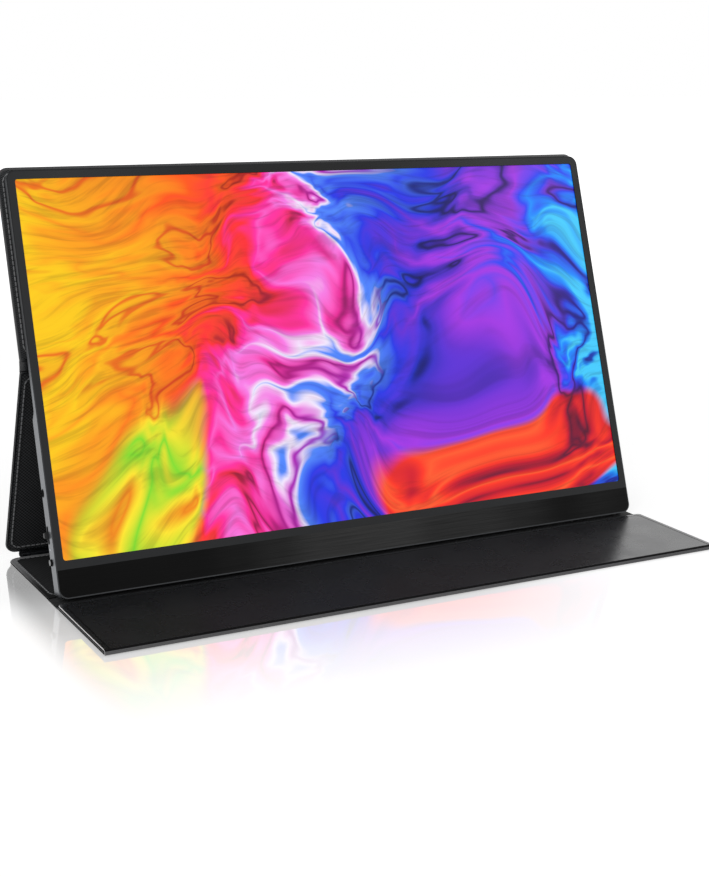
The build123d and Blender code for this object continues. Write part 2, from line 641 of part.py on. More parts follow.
FLANGE_U = -CASE_IN + POWER_CLEAR / 2
with BuildPart() as power_button:
    with BuildSketch(side.offset(-MON_HALF - POWER_OUT)):
        with Locations((PORT_W, POWER_V)):
            Circle(POWER_R)
    extrude(amount=POWER_OUT + CASE_WALL + POWER_CLEAR)
    with BuildSketch(side.offset(FLANGE_U)):
        with Locations((PORT_W, POWER_V)):
            Rectangle(THICK_IN - TRAY_BACK - 2 * POWER_CLEAR, SWITCH_H)
    extrude(amount=POWER_FLANGE)
    with BuildSketch(side.offset(FLANGE_U)):
        with Locations((PORT_W, POWER_V)):
            Circle(POWER_STEM_R)
    extrude(amount=STEM_END - FLANGE_U)
    fillet(power_button.edges().group_by(Axis.X)[0], POWER_EDGE_R)
save(power_button, "power_button")

with BuildPart() as power_switch:
    with BuildSketch(side.offset(SWITCH_FACE)):
        with Locations((PORT_W, POWER_V)):
            Rectangle(SWITCH_T, SWITCH_H)
    extrude(amount=SWITCH_END - SWITCH_FACE)
    with BuildSketch(side.offset(SWITCH_FACE)):
        with Locations((PORT_W, POWER_V)):
            Circle(POWER_STEM_R)
    extrude(amount=-BRACKET_T)
save(power_switch, "power_switch")

# Board screws
with BuildPart() as board_screws:
    with BuildSketch(face.offset(-(PCB_FRONT - SCREW_HEAD_T))):
        with Locations(*SCREWS):
            Circle(SCREW_HEAD_R)
    extrude(amount=-SCREW_HEAD_T)
    with BuildSketch(face.offset(-PCB_FRONT)):
        with Locations(*SCREWS):
            Circle(SCREW_R)
    extrude(amount=-SCREW_LENGTH)
save(board_screws, "board_screws")

# Speakers on the rear cover's floor
for hand, speaker_x in (("left", -SPEAKER_X), ("right", SPEAKER_X)):
    with BuildPart() as speaker:
        with BuildSketch(face.offset(-(THICK_IN - SPEAKER_T))):
            with Locations((speaker_x, SPEAKER_MID_V)):
                RectangleRounded(SPEAKER_L, SPEAKER_H, SPEAKER_R)
        extrude(amount=-SPEAKER_T)
        with BuildSketch(face.offset(-THICK_IN)):
            with Locations((speaker_x, SPEAKER_MID_V)):
                Ellipse(CONE_L / 2, CONE_H / 2)
        extrude(amount=CONE_DEPTH, mode=Mode.SUBTRACT)
    save(speaker, f"speaker_{hand}")

# Speaker leads and ribbons lie on the rear cover's floor or the tray's back
LEAD_W = THICK_IN - LEAD_R
MAIN_LEFT = MAIN_MID_U - MAIN_W / 2
LEAD_TURN_V = MAIN_LOW + 2 * LEAD_BEND
SPEAKER_IN = SPEAKER_X - SPEAKER_L / 2
LEAD_TURN_U = min(MAIN_LEFT, SPEAKER_IN) - 2 * LEAD_BEND
LEADS = []
for start_u, turn_u, turn_v in ((SPEAKER_IN, LEAD_TURN_U, LEAD_TURN_V),
                                (-SPEAKER_IN, LEAD_TURN_U - 2 * LEAD_BEND, LEAD_TURN_V + LEAD_PITCH)):
    LEADS.append([(start_u, SPEAKER_MID_V), (turn_u, SPEAKER_MID_V), (turn_u, turn_v),
                  (MAIN_LEFT + PLUG_L, turn_v)])


def lead_point(u, v):
    return face.from_local_coords(Vector(u, v, -LEAD_W))


with BuildPart() as speaker_leads:
    for corners in LEADS:
        with BuildLine() as lead_path:
            FilletPolyline(*[lead_point(u, v) for u, v in corners], radius=LEAD_BEND)
        with BuildSketch(Plane(origin=lead_path.line @ 0, z_dir=lead_path.line % 0)):
            Circle(LEAD_R)
        sweep(path=lead_path.line)
save(speaker_leads, "speaker_leads")

SIDE_RIGHT = SIDE_EDGE + SIDE_W
RIBBON_V = SIDE_LOW + SIDE_H - RIBBON_W
with BuildPart() as side_cable:
    with BuildSketch(face.offset(-(THICK_IN - RIBBON_T))):
        with Locations(((SIDE_RIGHT + MAIN_LEFT) / 2, RIBBON_V)):
            Rectangle(MAIN_LEFT - SIDE_RIGHT + 2 * PLUG_L, RIBBON_W)
    extrude(amount=-RIBBON_T)
    with BuildSketch(face.offset(-PCB_BACK)):
        for plug_u in (SIDE_RIGHT - PLUG_L / 2, MAIN_LEFT + PLUG_L / 2):
            with Locations((plug_u, RIBBON_V)):
                Rectangle(PLUG_L, RIBBON_W)
    extrude(amount=-(THICK_IN - PCB_BACK))
save(side_cable, "side_cable")

CABLE_U = MAIN_LEFT + PLUG_L
with BuildPart() as panel_cable:
    with BuildSketch(face.offset(-TRAY_BACK)):
        with Locations((CABLE_U, (SOURCE_TOP + MAIN_MID_V) / 2)):
            Rectangle(RIBBON_W, MAIN_MID_V - SOURCE_TOP)
    extrude(amount=-RIBBON_T)
    with BuildSketch(face.offset(-TRAY_BACK)):
        with Locations((CABLE_U, SOURCE_TOP + PLUG_L / 4)):
            Rectangle(RIBBON_W, PLUG_L / 2)
    extrude(amount=-SOURCE_T)
    with BuildSketch(face.offset(-TRAY_BACK)):
        with Locations((CABLE_U, MAIN_MID_V - PLUG_L / 2)):
            Rectangle(RIBBON_W, PLUG_L)
    extrude(amount=-(PCB_FRONT - TRAY_BACK))
save(panel_cable, "panel_cable")

# Magnet plate between the monitor's back and the cover
PLATE_LOW = FOLD_V + PLATE_INSET
PLATE_HIGH = MON_H - PLATE_INSET
PLATE_MID = (PLATE_LOW + PLATE_HIGH) / 2
MAGNET_ROWS = (PLATE_HIGH - PLATE_LOW) / 2
MAGNET_PITCH = (MON_W - 2 * PLATE_INSET) / MAGNET_COLUMNS
with BuildPart() as magnet_plate:
    with BuildSketch(face.offset(-THIN_T)):
        with Locations((0, PLATE_MID)):
            RectangleRounded(MON_W - 2 * PLATE_INSET, PLATE_HIGH - PLATE_LOW, COVER_R)
    extrude(amount=-PLATE_T)
    with BuildSketch(face.offset(-THIN_T)):
        with Locations((0, PLATE_MID)):
            with GridLocations(MAGNET_PITCH, MAGNET_ROWS, MAGNET_COLUMNS, 2):
                Circle(MAGNET_R)
    extrude(amount=-MAGNET_T, mode=Mode.SUBTRACT)
save(magnet_plate, "magnet_plate")

with BuildPart() as cover_magnets:
    with BuildSketch(face.offset(-THIN_T)):
        with Locations((0, PLATE_MID)):
            with GridLocations(MAGNET_PITCH, MAGNET_ROWS, MAGNET_COLUMNS, 2):
                Circle(MAGNET_R)
    extrude(amount=-MAGNET_T)
save(cover_magnets, "cover_magnets")

# Cover sections
TIP_LOW = -FLAP_FOLD_Y - TIP_D
TIP_HIGH = -FLAP_FOLD_Y
TIP_MAGNETS = [(x * (COVER_HALF - TIP_MAGNET_EDGE), TIP_LOW + TIP_MAGNET_EDGE) for x in (-1, 1)]
section("back_panel", back_skin_plane, FOLD_V + HALF_FOLD, MON_H + COVER_RISE, FOLD_R, COVER_R)
section("leg", leg_skin_plane, -LEG_L, -HALF_FOLD, COVER_R, FOLD_R)
section("base", desk, CARD_FRONT, BASE_REAR, FOLD_R, COVER_R)
section("middle", desk, FLAP_FOLD_Y, MIDDLE_REAR, FOLD_R, TIP_R)
section("tip", tip_skin_plane, TIP_LOW, TIP_HIGH, TIP_R, FOLD_R, TIP_MAGNETS)

with BuildPart() as tip_magnets:
    with BuildSketch(tip_skin_plane.offset(SKIN_T)):
        with Locations(*TIP_MAGNETS):
            Circle(TIP_MAGNET_R)
    extrude(amount=CARD_T)
save(tip_magnets, "tip_magnets")

# Groove that the monitor's bottom edge stands in: leather and lining with no card
for layer, bottom, thick in (("groove_strip", 0.0, SKIN_T), ("groove_lining", SKIN_T, LINING_T)):
    with BuildPart() as groove:
        with BuildSketch(desk.offset(bottom)):
            with Locations((0, (CARD_FRONT - GROOVE_FRONT) / 2)):
                Rectangle(2 * COVER_HALF, CARD_FRONT + GROOVE_FRONT)
        extrude(amount=thick)
    save(groove, layer)

# Bare leather at the four folds
BACK_END = (FOLD_Y + HALF_FOLD * math.sin(tilt), FOLD_Z + HALF_FOLD * math.cos(tilt))
LEG_END = (FOLD_Y + HALF_FOLD * math.sin(lean), FOLD_Z - HALF_FOLD * math.cos(lean))
with BuildLine() as back_path:
    FilletPolyline(BACK_END, (FOLD_Y, FOLD_Z), LEG_END, radius=HALF_FOLD)
fold_strip("back_strip", back_path.line, SKIN_T, COVER_HALF)

SPINE_Y = FOOT_Y + (FOOT_Z - SKIN_T / 2) * math.tan(lean)
with BuildLine() as spine_path:
    FilletPolyline((BASE_REAR, SKIN_T / 2), (SPINE_Y, SKIN_T / 2), (FOOT_Y, FOOT_Z), radius=SPINE_R)
fold_strip("spine_strip", spine_path.line, SKIN_T, COVER_HALF - SPINE_INSET)

with BuildLine() as front_path:
    Line((MIDDLE_REAR, SKIN_T / 2), (-GROOVE_FRONT, SKIN_T / 2))
fold_strip("front_strip", front_path.line, SKIN_T, COVER_HALF)

with BuildLine() as tip_path:
    JernArc((FLAP_FOLD_Y, SKIN_T / 2), (-1, 0), FLAP_FOLD_Z - SKIN_T / 2, -180)
fold_strip("tip_strip", tip_path.line, SKIN_T, COVER_HALF)
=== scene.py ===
import json
import math

import bpy
from mathutils import Matrix, Vector


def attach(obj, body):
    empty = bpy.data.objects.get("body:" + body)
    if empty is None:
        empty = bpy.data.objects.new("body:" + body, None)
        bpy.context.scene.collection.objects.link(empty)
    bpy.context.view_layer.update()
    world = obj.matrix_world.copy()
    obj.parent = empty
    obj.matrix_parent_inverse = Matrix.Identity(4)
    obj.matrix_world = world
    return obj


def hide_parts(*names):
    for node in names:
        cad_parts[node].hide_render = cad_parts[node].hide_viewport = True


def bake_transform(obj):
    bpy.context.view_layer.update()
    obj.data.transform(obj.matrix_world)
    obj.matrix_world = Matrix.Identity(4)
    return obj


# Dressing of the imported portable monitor: leather cover, materials, lit picture, floor, lamps and camera.
# Sizes are millimetres, as in the part's source, and are scaled to metres once.
MM = 0.001

# Monitor
TILT = math.radians(19.0)
EDGE_Z = 2.943
ACTIVE_W = 344.2
ACTIVE_H = 193.6
PICTURE_LOW = 18.9

# Cover
SECTION_T = 1.3
SKIN_T = 0.4
LINING_T = 0.3
COVER_HALF = 179.4
COVER_OUT = 8.1
COVER_R = 6.2
FOLD_R = 1.0
TIP_R = 2.6
HALF_FOLD = 2.5
COVER_HIGH = 220.3
FOLD_V = 118.0
FOLD_Y = 45.887
FOLD_Z = 111.943
LEAN = math.radians(19.2)
LEG_L = 115.147
FOOT_Y = 83.755
FOOT_Z = 3.2
BASE_REAR = 78.755
SPINE_R = 1.2
SPINE_HALF = 171.4
CARD_FRONT = 10.02
GROOVE_FRONT = -1.5
MIDDLE_REAR = -4.0
FLAP_FOLD_Y = -71.0
FLAP_FOLD_Z = 1.35
TIP_D = 66.4
TIP_TOP = 2.7
CREASE = 0.27             # pinch between the two boards at the flap's fold
CREASE_ANGLE = math.radians(16)
FOLD_PAINTED_SHADE = (0.85, 1.6)   # painted shade: dark line along the flap's front edge, over the middle of the fold
FOLD_GAP = 0.01           # keeps the opened flap's two ends from sharing a plane

# Turned edge of the leather and of the cloth: (inset, depth under the woven face)
LEATHER_TURN = ((1.4, 0.06), (0.7, 0.03), (0.3, 0.05), (0.08, 0.2), (0.0, 0.45))
CLOTH_TURN = ((0.35, 0.35), (0.45, 0.05))
CLOTH_IN = 0.8            # a step on the cloth's fall towards the welt's foot
CORNER_STEPS = 10
LEAST_R = 0.1             # least corner of an inset outline
EDGE_R = 0.38             # round of each section's outer edge
EDGE_STEPS = 4

# Pressed hem line on the outer leather, and its inset from a section's fold side
HEM_IN = 2.9
HEM_SLOPE = 0.85
HEM_R = 3.0
HEM_DEPTH = 0.14
HEM_STEPS = 4
HEM_FAR = 4.0             # last ring of the outer face, inside the hem line
FOLD_SIDE_STEP = 0.1
FOLD_SIDE_END = 0.4

# Raised welt on the woven side, and the thread along it
WELT_IN = 3.1
WELT_HALF = 0.42
WELT_R = 5.0
WELT_DEPTH = 0.16
WELT_STEPS = 4
WELT_FAR = 2.5
STITCH_L = 2.62
STITCH_PITCH = 2.7
STITCH_R = 0.46
FLAP_STITCH_R = 0.22
STITCH_SIDES = 6
SAME_PLACE = 1e-9         # metres
STITCH_FLAT = 0.6         # height of a thread to its width
STITCH_UP = 0.4           # share of the radius that it lies under the welt's top
STITCH_SHAPE = ((-0.5, 0.5), (-0.35, 1.0), (0.35, 1.0), (0.5, 0.5))   # (share of length, share of radius)

# Bands of faces in a section's rings, counted from the woven side
EDGE_BANDS = range(3, 9)
HIGHLIGHT_BANDS = range(6, 10)
HEM_BANDS = range(10, 14)
MARGIN_BANDS = range(0, 3)
SHORT_END = 1.0           # depth of the faces that count as a section's short ends

# Leather strips at the folds: tucks are how far a strip reaches under its sections
FOLD_STEPS = 20
STRIP_EDGE = 0.2
STRIP_ROUND = ((0, 0.6), (0.3, 0.88), (1, 1.0))   # (share of the edge's width, share of the thickness)
END_FACES = 0.05          # depth of the faces that count as a strip's ends
GROOVE_TUCK = 0.4
GROOVE_Y = (GROOVE_FRONT, 0.0, 3.0, 6.0, CARD_FRONT + GROOVE_TUCK)
GROOVE_CLOTH_Y = (GROOVE_FRONT, 0.0, 4.0, CARD_FRONT + GROOVE_TUCK)
GROOVE_CLOTH_Z = 0.54
GROOVE_CLOTH_IN = 0.4
THIN = 0.02               # taken off a strip that lies between two others
BACK_THIN = 0.04
FRONT_PATH = ((MIDDLE_REAR - 0.5, 0.3), (MIDDLE_REAR, 0.27), (-3.4, 0.22), (-2.75, 0.21), (-2.1, 0.21),
              (GROOVE_FRONT + 0.1, 0.2))
FLAP_TUCK = 0.6
FLAP_TUCK_DEPTH = 0.26
SPINE_TUCK = 1.2
SPINE_START = 0.3
BACK_TUCK = 0.5
BACK_PULL = 2.8           # how straight the back fold leaves its sections

# Light levels
WORLD_LIGHT = 0.55
FLOOR_GLOW = 0.66
FLOOR_TONE = 0.5
SOFT_MIRROR = 0.015       # strength of the picture in soft reflections, such as on the flap

# Lamps, in metres: (name, place, width, power), and what they point at
LAMPS = (("key", (-1.0, -1.1, 1.5), 1.2, 9.0), ("fill", (1.2, -0.6, 1.3), 1.4, 5.0))
LAMP_TARGET = (0, 0, 0.1)

# Floor, in metres, and how its mirror image fades: levels are (share of the way forward, level),
# the other fades are (from, to, level at from, level at to)
FLOOR_REACH = 6.0
FLOOR_Z = -0.0003
MIRROR_FORWARD = (-0.165, 0.035)
MIRROR_LEVELS = ((0.02, 0.0), (0.085, 0.03), (0.185, 0.11), (0.26, 0.165), (0.33, 0.235), (0.415, 0.31),
                 (0.62, 0.38), (0.82, 0.5), (1.0, 0.62))
MIRROR_BEHIND = (0.085, 0.11, 1.0, 0.0)
MIRROR_RIGHT = (-0.01, 0.12, 1.0, 0.0)
MIRROR_LEFT = (-0.207, -0.186, 0.0, 1.0)
FLOOR_DISTANT = (0.6, 1.4, 0.0, 1.0)

# Camera, fitted to the display's corners and the cover's edges in the photograph
CAMERA_PLACE = (-410.605, -722.957, 275.261)
CAMERA_YAW = math.radians(-28.691)
CAMERA_PITCH = math.radians(12.419)
CAMERA_ROLL = math.radians(0.911)
CAMERA_LENS = 65.58
CAMERA_SHIFT = (0.0044, -0.0539)
CAMERA_NEAR = 0.01

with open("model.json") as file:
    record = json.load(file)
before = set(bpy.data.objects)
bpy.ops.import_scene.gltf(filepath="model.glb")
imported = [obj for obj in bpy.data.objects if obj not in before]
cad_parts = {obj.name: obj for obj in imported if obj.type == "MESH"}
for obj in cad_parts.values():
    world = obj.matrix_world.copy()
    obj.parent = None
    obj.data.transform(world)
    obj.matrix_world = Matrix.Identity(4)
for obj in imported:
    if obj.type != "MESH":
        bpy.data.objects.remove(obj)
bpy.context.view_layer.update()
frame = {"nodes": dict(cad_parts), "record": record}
nodes = frame["nodes"]


class Frame:
    """Axes of one flat section: across is X, along runs up it, inward goes from its outer skin into it."""

    def __init__(self, origin, along, inward):
        self.origin = Vector(origin)
        self.along = Vector(along)
        self.inward = Vector(inward)

    def at(self, across, along, depth):
        return (self.origin + Vector((across, 0, 0)) + self.along * along + self.inward * depth) * MM


SCREEN_UP = Vector((0, math.sin(TILT), math.cos(TILT)))
SCREEN_IN = Vector((0, math.cos(TILT), -math.sin(TILT)))
LEG_UP = Vector((0, -math.sin(LEAN), math.cos(LEAN)))
LEG_IN = Vector((0, -math.cos(LEAN), -math.sin(LEAN)))
SCREEN_ORIGIN = Vector((0, 0, EDGE_Z))
back_frame = Frame(SCREEN_ORIGIN + SCREEN_IN * COVER_OUT, SCREEN_UP, -SCREEN_IN)
leg_frame = Frame(Vector((0, FOLD_Y, FOLD_Z)) - LEG_IN * SKIN_T / 2, LEG_UP, LEG_IN)
desk_frame = Frame((0, 0, 0), (0, 1, 0), (0, 0, 1))
tip_frame = Frame((0, 0, TIP_TOP), (0, -1, 0), (0, 0, -1))

WHITE = (1.0, 1.0, 1.0, 1.0)
BLACK = (0.0, 0.0, 0.0, 1.0)
ACROSS = (1, 0, 0)
FORTH = (0, 1, 0)


# Node material helpers
def new_material(name):
    material = bpy.data.materials.new(name)
    material.use_nodes = True
    tree = material.node_tree
    tree.nodes.clear()
    output = tree.nodes.new("ShaderNodeOutputMaterial")
    shader = tree.nodes.new("ShaderNodeBsdfPrincipled")
    tree.links.new(shader.outputs["BSDF"], output.inputs["Surface"])
    return material, tree, shader


def add_node(tree, kind, inputs=None, **settings):
    node = tree.nodes.new(kind)
    for key, value in settings.items():
        setattr(node, key, value)
    for key, value in (inputs or {}).items():
        if isinstance(value, bpy.types.NodeSocket):
            tree.links.new(value, node.inputs[key])
        else:
            node.inputs[key].default_value = value
    return node


def math_node(tree, operation, first, second=0.0, third=0.0, clamp=False):
    node = add_node(tree, "ShaderNodeMath", {0: first, 1: second, 2: third}, operation=operation)
    node.use_clamp = clamp
    return node.outputs[0]


def vector_math(tree, operation, first, second):
    return add_node(tree, "ShaderNodeVectorMath", {0: first, 1: second}, operation=operation).outputs[0]


def dotted(tree, vector, way):
    node = add_node(tree, "ShaderNodeVectorMath", {0: vector, 1: tuple(way)}, operation="DOT_PRODUCT")
    return node.outputs["Value"]


def separated(tree, vector):
    return add_node(tree, "ShaderNodeSeparateXYZ", {0: vector}).outputs


def object_place(tree):
    return tree.nodes.new("ShaderNodeTexCoord").outputs["Object"]


def surface_way(tree):
    return tree.nodes.new("ShaderNodeTexCoord").outputs["Normal"]


def grey(level):
    return (level, level, level, 1.0)


def toned(color, factor):
    return tuple(channel * factor for channel in color) + (1.0,)


def ramp(tree, factor, stops, interpolation="LINEAR"):
    node = add_node(tree, "ShaderNodeValToRGB", {"Fac": factor})
    node.color_ramp.interpolation = interpolation
    elements = node.color_ramp.elements
    while len(elements) < len(stops):
        elements.new(0.5)
    for element, (position, color) in zip(elements, stops):
        element.position = position
        element.color = color if len(color) == 4 else (*color, 1.0)
    return node.outputs["Color"]


def grey_ramp(tree, factor, levels, interpolation="LINEAR"):
    return ramp(tree, factor, [(position, grey(level)) for position, level in levels], interpolation)


def mapped(tree, value, low, high, at_low, at_high):
    return add_node(tree, "ShaderNodeMapRange", {"Value": value, "From Min": low, "From Max": high,
                                                 "To Min": at_low, "To Max": at_high},
                    interpolation_type="SMOOTHSTEP").outputs[0]


def share_of(tree, value, low, high):
    node = add_node(tree, "ShaderNodeMapRange", {"Value": value, "From Min": low, "From Max": high})
    return node.outputs[0]


def tones_across(tree, place, tones, interpolation="LINEAR"):
    """Grey that changes along X through the given tones: (place in m, level)."""
    first, last = tones[0][0], tones[-1][0]
    share = share_of(tree, dotted(tree, place, ACROSS), first, last)
    levels = [((at - first) / (last - first), level) for at, level in tones]
    return grey_ramp(tree, share, levels, interpolation)


def noise(tree, place, scale, detail=2.0, rough=0.5, output="Fac"):
    return add_node(tree, "ShaderNodeTexNoise", {"Vector": place, "Scale": scale, "Detail": detail,
                                                 "Roughness": rough, "Distortion": 0.0}).outputs[output]


def bump(tree, shader, height, strength, distance):
    node = add_node(tree, "ShaderNodeBump", {"Height": height, "Strength": strength, "Distance": distance})
    tree.links.new(node.outputs["Normal"], shader.inputs["Normal"])


def mix_color(tree, factor, first, second, blend="MIX"):
    node = tree.nodes.new("ShaderNodeMix")
    node.data_type = "RGBA"
    node.blend_type = blend
    for index, value in ((0, factor), (6, first), (7, second)):
        if isinstance(value, bpy.types.NodeSocket):
            tree.links.new(value, node.inputs[index])
        else:
            node.inputs[index].default_value = value
    return node.outputs[2]


# Plain surfaces: fine grain with a little broad variation
GRAIN_NOISE = (3.0, 0.6)  # detail and roughness
GRAIN_SHARE = 0.6
GRAIN_RATIO = 30          # fine grain's scale to that of the broad variation
GRAIN_ENDS = (0.3, 0.7)
ROUGH_ENDS = (0.2, 0.8)
ROUGH_SPREAD = 0.06
ROUGH_LEAST = 0.02
GRAIN_BUMP = (0.25, 0.00002)


def plain_material(name, color, roughness, metallic=0.0, grain=900.0, vary=0.12, specular=0.5, shade=None):
    """A surface with fine grain, slight colour variation and a little relief."""
    material, tree, shader = new_material(name)
    place = object_place(tree)
    fine = noise(tree, place, grain, *GRAIN_NOISE)
    broad = noise(tree, place, grain / GRAIN_RATIO)
    both = math_node(tree, "MULTIPLY_ADD", fine, GRAIN_SHARE,
                     math_node(tree, "MULTIPLY", broad, 1 - GRAIN_SHARE))
    surface = ramp(tree, both, list(zip(GRAIN_ENDS, (toned(color, 1 - vary), toned(color, 1 + vary)))))
    if shade:
        surface = mix_color(tree, 1.0, surface, shade(tree), "MULTIPLY")
    tree.links.new(surface, shader.inputs["Base Color"])
    rough_levels = (max(roughness - ROUGH_SPREAD, ROUGH_LEAST), min(roughness + ROUGH_SPREAD, 1))
    tree.links.new(grey_ramp(tree, fine, list(zip(ROUGH_ENDS, rough_levels))), shader.inputs["Roughness"])
    shader.inputs["Metallic"].default_value = metallic
    shader.inputs["Specular IOR Level"].default_value = specular
    bump(tree, shader, fine, *GRAIN_BUMP)
    return material


# Painted light and shade of single pieces, and the case's darker lip: (from, to, level at from, level at to),
# over metres or over the turn of a face
CASE_PAINTED_SHADE = (0.090, 0.140, 0.95, 0.34)
CASE_LIP = (0.35, 0.85, 1.0, 0.22)
BEZEL_TOP = (0.200, 0.210, 0.0, 1.0)
BEZEL_REST = 0.95
BEZEL_PAINTED_TONES = ((-0.178, 0.85), (-0.150, 1.35), (-0.065, 0.42), (0.030, 0.36), (0.115, 1.55), (0.178, 1.3))
MARGIN_PAINTED_SHEEN = (0.020, 0.075, 0.02, 1.0)
BUTTON_END_HIGHLIGHT = (0.75, 0.99, 0.012, 0.4)


def case_painted_shade_and_lip(tree):
    """Painted shade: the case is darker up beside its cover. It is also darker on the lip round its front."""
    coordinates = tree.nodes.new("ShaderNodeTexCoord")
    height = dotted(tree, coordinates.outputs["Object"], SCREEN_UP)
    facing = dotted(tree, coordinates.outputs["Normal"], -SCREEN_IN)
    return math_node(tree, "MULTIPLY", mapped(tree, height, *CASE_PAINTED_SHADE), mapped(tree, facing, *CASE_LIP))


def bezel_painted_light(tree):
    """Painted light and shade: the frame's top is darker in the middle than near the corners."""
    place = object_place(tree)
    tone = tones_across(tree, place, BEZEL_PAINTED_TONES)
    top = mapped(tree, dotted(tree, place, SCREEN_UP), *BEZEL_TOP)
    return mix_color(tree, top, grey(BEZEL_REST), tone)


def painted_margin_sheen(tree):
    """Painted sheen: the base's margin is pale towards its rear corners."""
    return mapped(tree, dotted(tree, object_place(tree), FORTH), *MARGIN_PAINTED_SHEEN)


def button_painted_highlight(tree):
    """Painted highlight: bright end faces on dark buttons."""
    return mapped(tree, dotted(tree, surface_way(tree), (-1, 0, 0)), *BUTTON_END_HIGHLIGHT)


# Leather's grain: scales per metre, lengths in metres; a noise is (scale, detail, roughness)
LEATHER_WANDER = 260.0
LEATHER_SHIFT = 0.0014
LEATHER_CELLS = 1500.0
LEATHER_CREASE = 0.16     # share of a cell taken by its creases
LEATHER_BROAD = (38.0, 3.0, 0.55)
LEATHER_RELIEF = (0.35, 0.6)         # of the cells and of the broad unevenness
LEATHER_TONES = (0.7, 1.15)          # in the creases and on the cells
LEATHER_ROUGH = ((0.35, -0.05), (0.65, 0.06))
LEATHER_SPECULAR = 0.5
LEATHER_COAT = 0.35
LEATHER_COAT_ROUGH = 0.24
LEATHER_BUMP = (0.16, 0.00006)


def leather_material(name, color, roughness):
    """Fine grained leather: small rounded cells with creases between them, and broad soft unevenness."""
    material, tree, shader = new_material(name)
    place = object_place(tree)
    wander = noise(tree, place, LEATHER_WANDER, output="Color")
    moved = vector_math(tree, "ADD", place, vector_math(tree, "MULTIPLY", wander, (LEATHER_SHIFT,) * 3))
    cells = add_node(tree, "ShaderNodeTexVoronoi", {"Vector": moved, "Scale": LEATHER_CELLS},
                     feature="DISTANCE_TO_EDGE")
    crease = grey_ramp(tree, cells.outputs["Distance"], ((0.0, 0.0), (LEATHER_CREASE, 1.0)), "EASE")
    broad = noise(tree, place, *LEATHER_BROAD)
    height = math_node(tree, "MULTIPLY_ADD", crease, LEATHER_RELIEF[0],
                       math_node(tree, "MULTIPLY", broad, LEATHER_RELIEF[1]))
    dark, light = (toned(color, factor) for factor in LEATHER_TONES)
    tree.links.new(mix_color(tree, crease, dark, light), shader.inputs["Base Color"])
    rough_levels = [(position, roughness + change) for position, change in LEATHER_ROUGH]
    tree.links.new(grey_ramp(tree, broad, rough_levels), shader.inputs["Roughness"])
    shader.inputs["Specular IOR Level"].default_value = LEATHER_SPECULAR
    shader.inputs["Coat Weight"].default_value = LEATHER_COAT
    shader.inputs["Coat Roughness"].default_value = LEATHER_COAT_ROUGH
    bump(tree, shader, height, *LEATHER_BUMP)
    return material


# Woven lining: scales per metre, shares of its level
WEAVE_FUZZ = (2600.0, 2.0, 0.7)
WEAVE_FUZZ_SHARE = 0.3
WEAVE_PATCHES = 60.0
WEAVE_PATCH_SHARE = 0.2
WEAVE_ENDS = (0.35, 0.95)
WEAVE_ROUGH = 0.75
WEAVE_SPECULAR = 0.2
WEAVE_SHEEN = 0.03
WEAVE_SHEEN_ROUGH = 0.5
WEAVE_BUMP = (0.6, 0.00012)


def weave_material(name, dark, light, pitch):
    """Twill cloth: diagonal ribs of crossing yarns in the plane of each section."""
    material, tree, shader = new_material(name)
    place = object_place(tree)
    split = separated(tree, place)
    # Evens out the pitch on the leaning sections as well as on the flat ones
    along = math_node(tree, "MULTIPLY_ADD", split["Z"], (1 + math.sin(LEAN)) / math.cos(LEAN), split["Y"])
    turn = 2 * math.pi / pitch
    warp = math_node(tree, "COSINE", math_node(tree, "MULTIPLY", split["X"], turn))
    weft = math_node(tree, "COSINE", math_node(tree, "MULTIPLY", along, turn))
    knots = math_node(tree, "MULTIPLY_ADD", math_node(tree, "MULTIPLY", warp, weft), 0.5, 0.5)
    fuzz = noise(tree, place, *WEAVE_FUZZ)
    patchy = noise(tree, place, WEAVE_PATCHES)
    level = math_node(tree, "MULTIPLY_ADD", fuzz, WEAVE_FUZZ_SHARE,
                      math_node(tree, "MULTIPLY", knots, 1 - WEAVE_FUZZ_SHARE))
    level = math_node(tree, "MULTIPLY_ADD", patchy, WEAVE_PATCH_SHARE, level)
    tree.links.new(ramp(tree, level, list(zip(WEAVE_ENDS, (dark, light)))), shader.inputs["Base Color"])
    shader.inputs["Roughness"].default_value = WEAVE_ROUGH
    shader.inputs["Specular IOR Level"].default_value = WEAVE_SPECULAR
    shader.inputs["Sheen Weight"].default_value = WEAVE_SHEEN
    shader.inputs["Sheen Roughness"].default_value = WEAVE_SHEEN_ROUGH
    bump(tree, shader, level, *WEAVE_BUMP)
    return material


# Brushed strip under the picture: tone along it with painted light and shade, hair stretch along and across,
# and its look
CHIN_TONES_AND_PAINTED_LIGHT = ((-0.176, 0.005), (-0.10, 0.0075), (-0.078, 0.015), (-0.055, 0.031), (-0.03, 0.057),
              (0.02, 0.066), (0.045, 0.045), (0.075, 0.046), (0.10, 0.031), (0.13, 0.009), (0.155, 0.018),
              (0.176, 0.012))
CHIN_HAIR = (30.0, 4200.0, 4200.0)
CHIN_NOISE = (1.0, 4.0, 0.65)
CHIN_GRAIN = ((0.3, 0.4), (0.7, 1.0))
CHIN_ROUGH = ((0.3, 0.29), (0.7, 0.44))
CHIN_SPECULAR = 0.06
CHIN_BUMP = (0.3, 0.00002)


def brushed_material(name):
    """Painted metal brushed along X, whose tone drifts along it as painted light and shade."""
    material, tree, shader = new_material(name)
    place = object_place(tree)
    hair = noise(tree, vector_math(tree, "MULTIPLY", place, CHIN_HAIR), *CHIN_NOISE)
    tone = tones_across(tree, place, CHIN_TONES_AND_PAINTED_LIGHT, "EASE")
    grain = grey_ramp(tree, hair, CHIN_GRAIN)
    tree.links.new(mix_color(tree, 1.0, tone, grain, "MULTIPLY"), shader.inputs["Base Color"])
    tree.links.new(grey_ramp(tree, hair, CHIN_ROUGH), shader.inputs["Roughness"])
    shader.inputs["Specular IOR Level"].default_value = CHIN_SPECULAR
    bump(tree, shader, hair, *CHIN_BUMP)
    return material


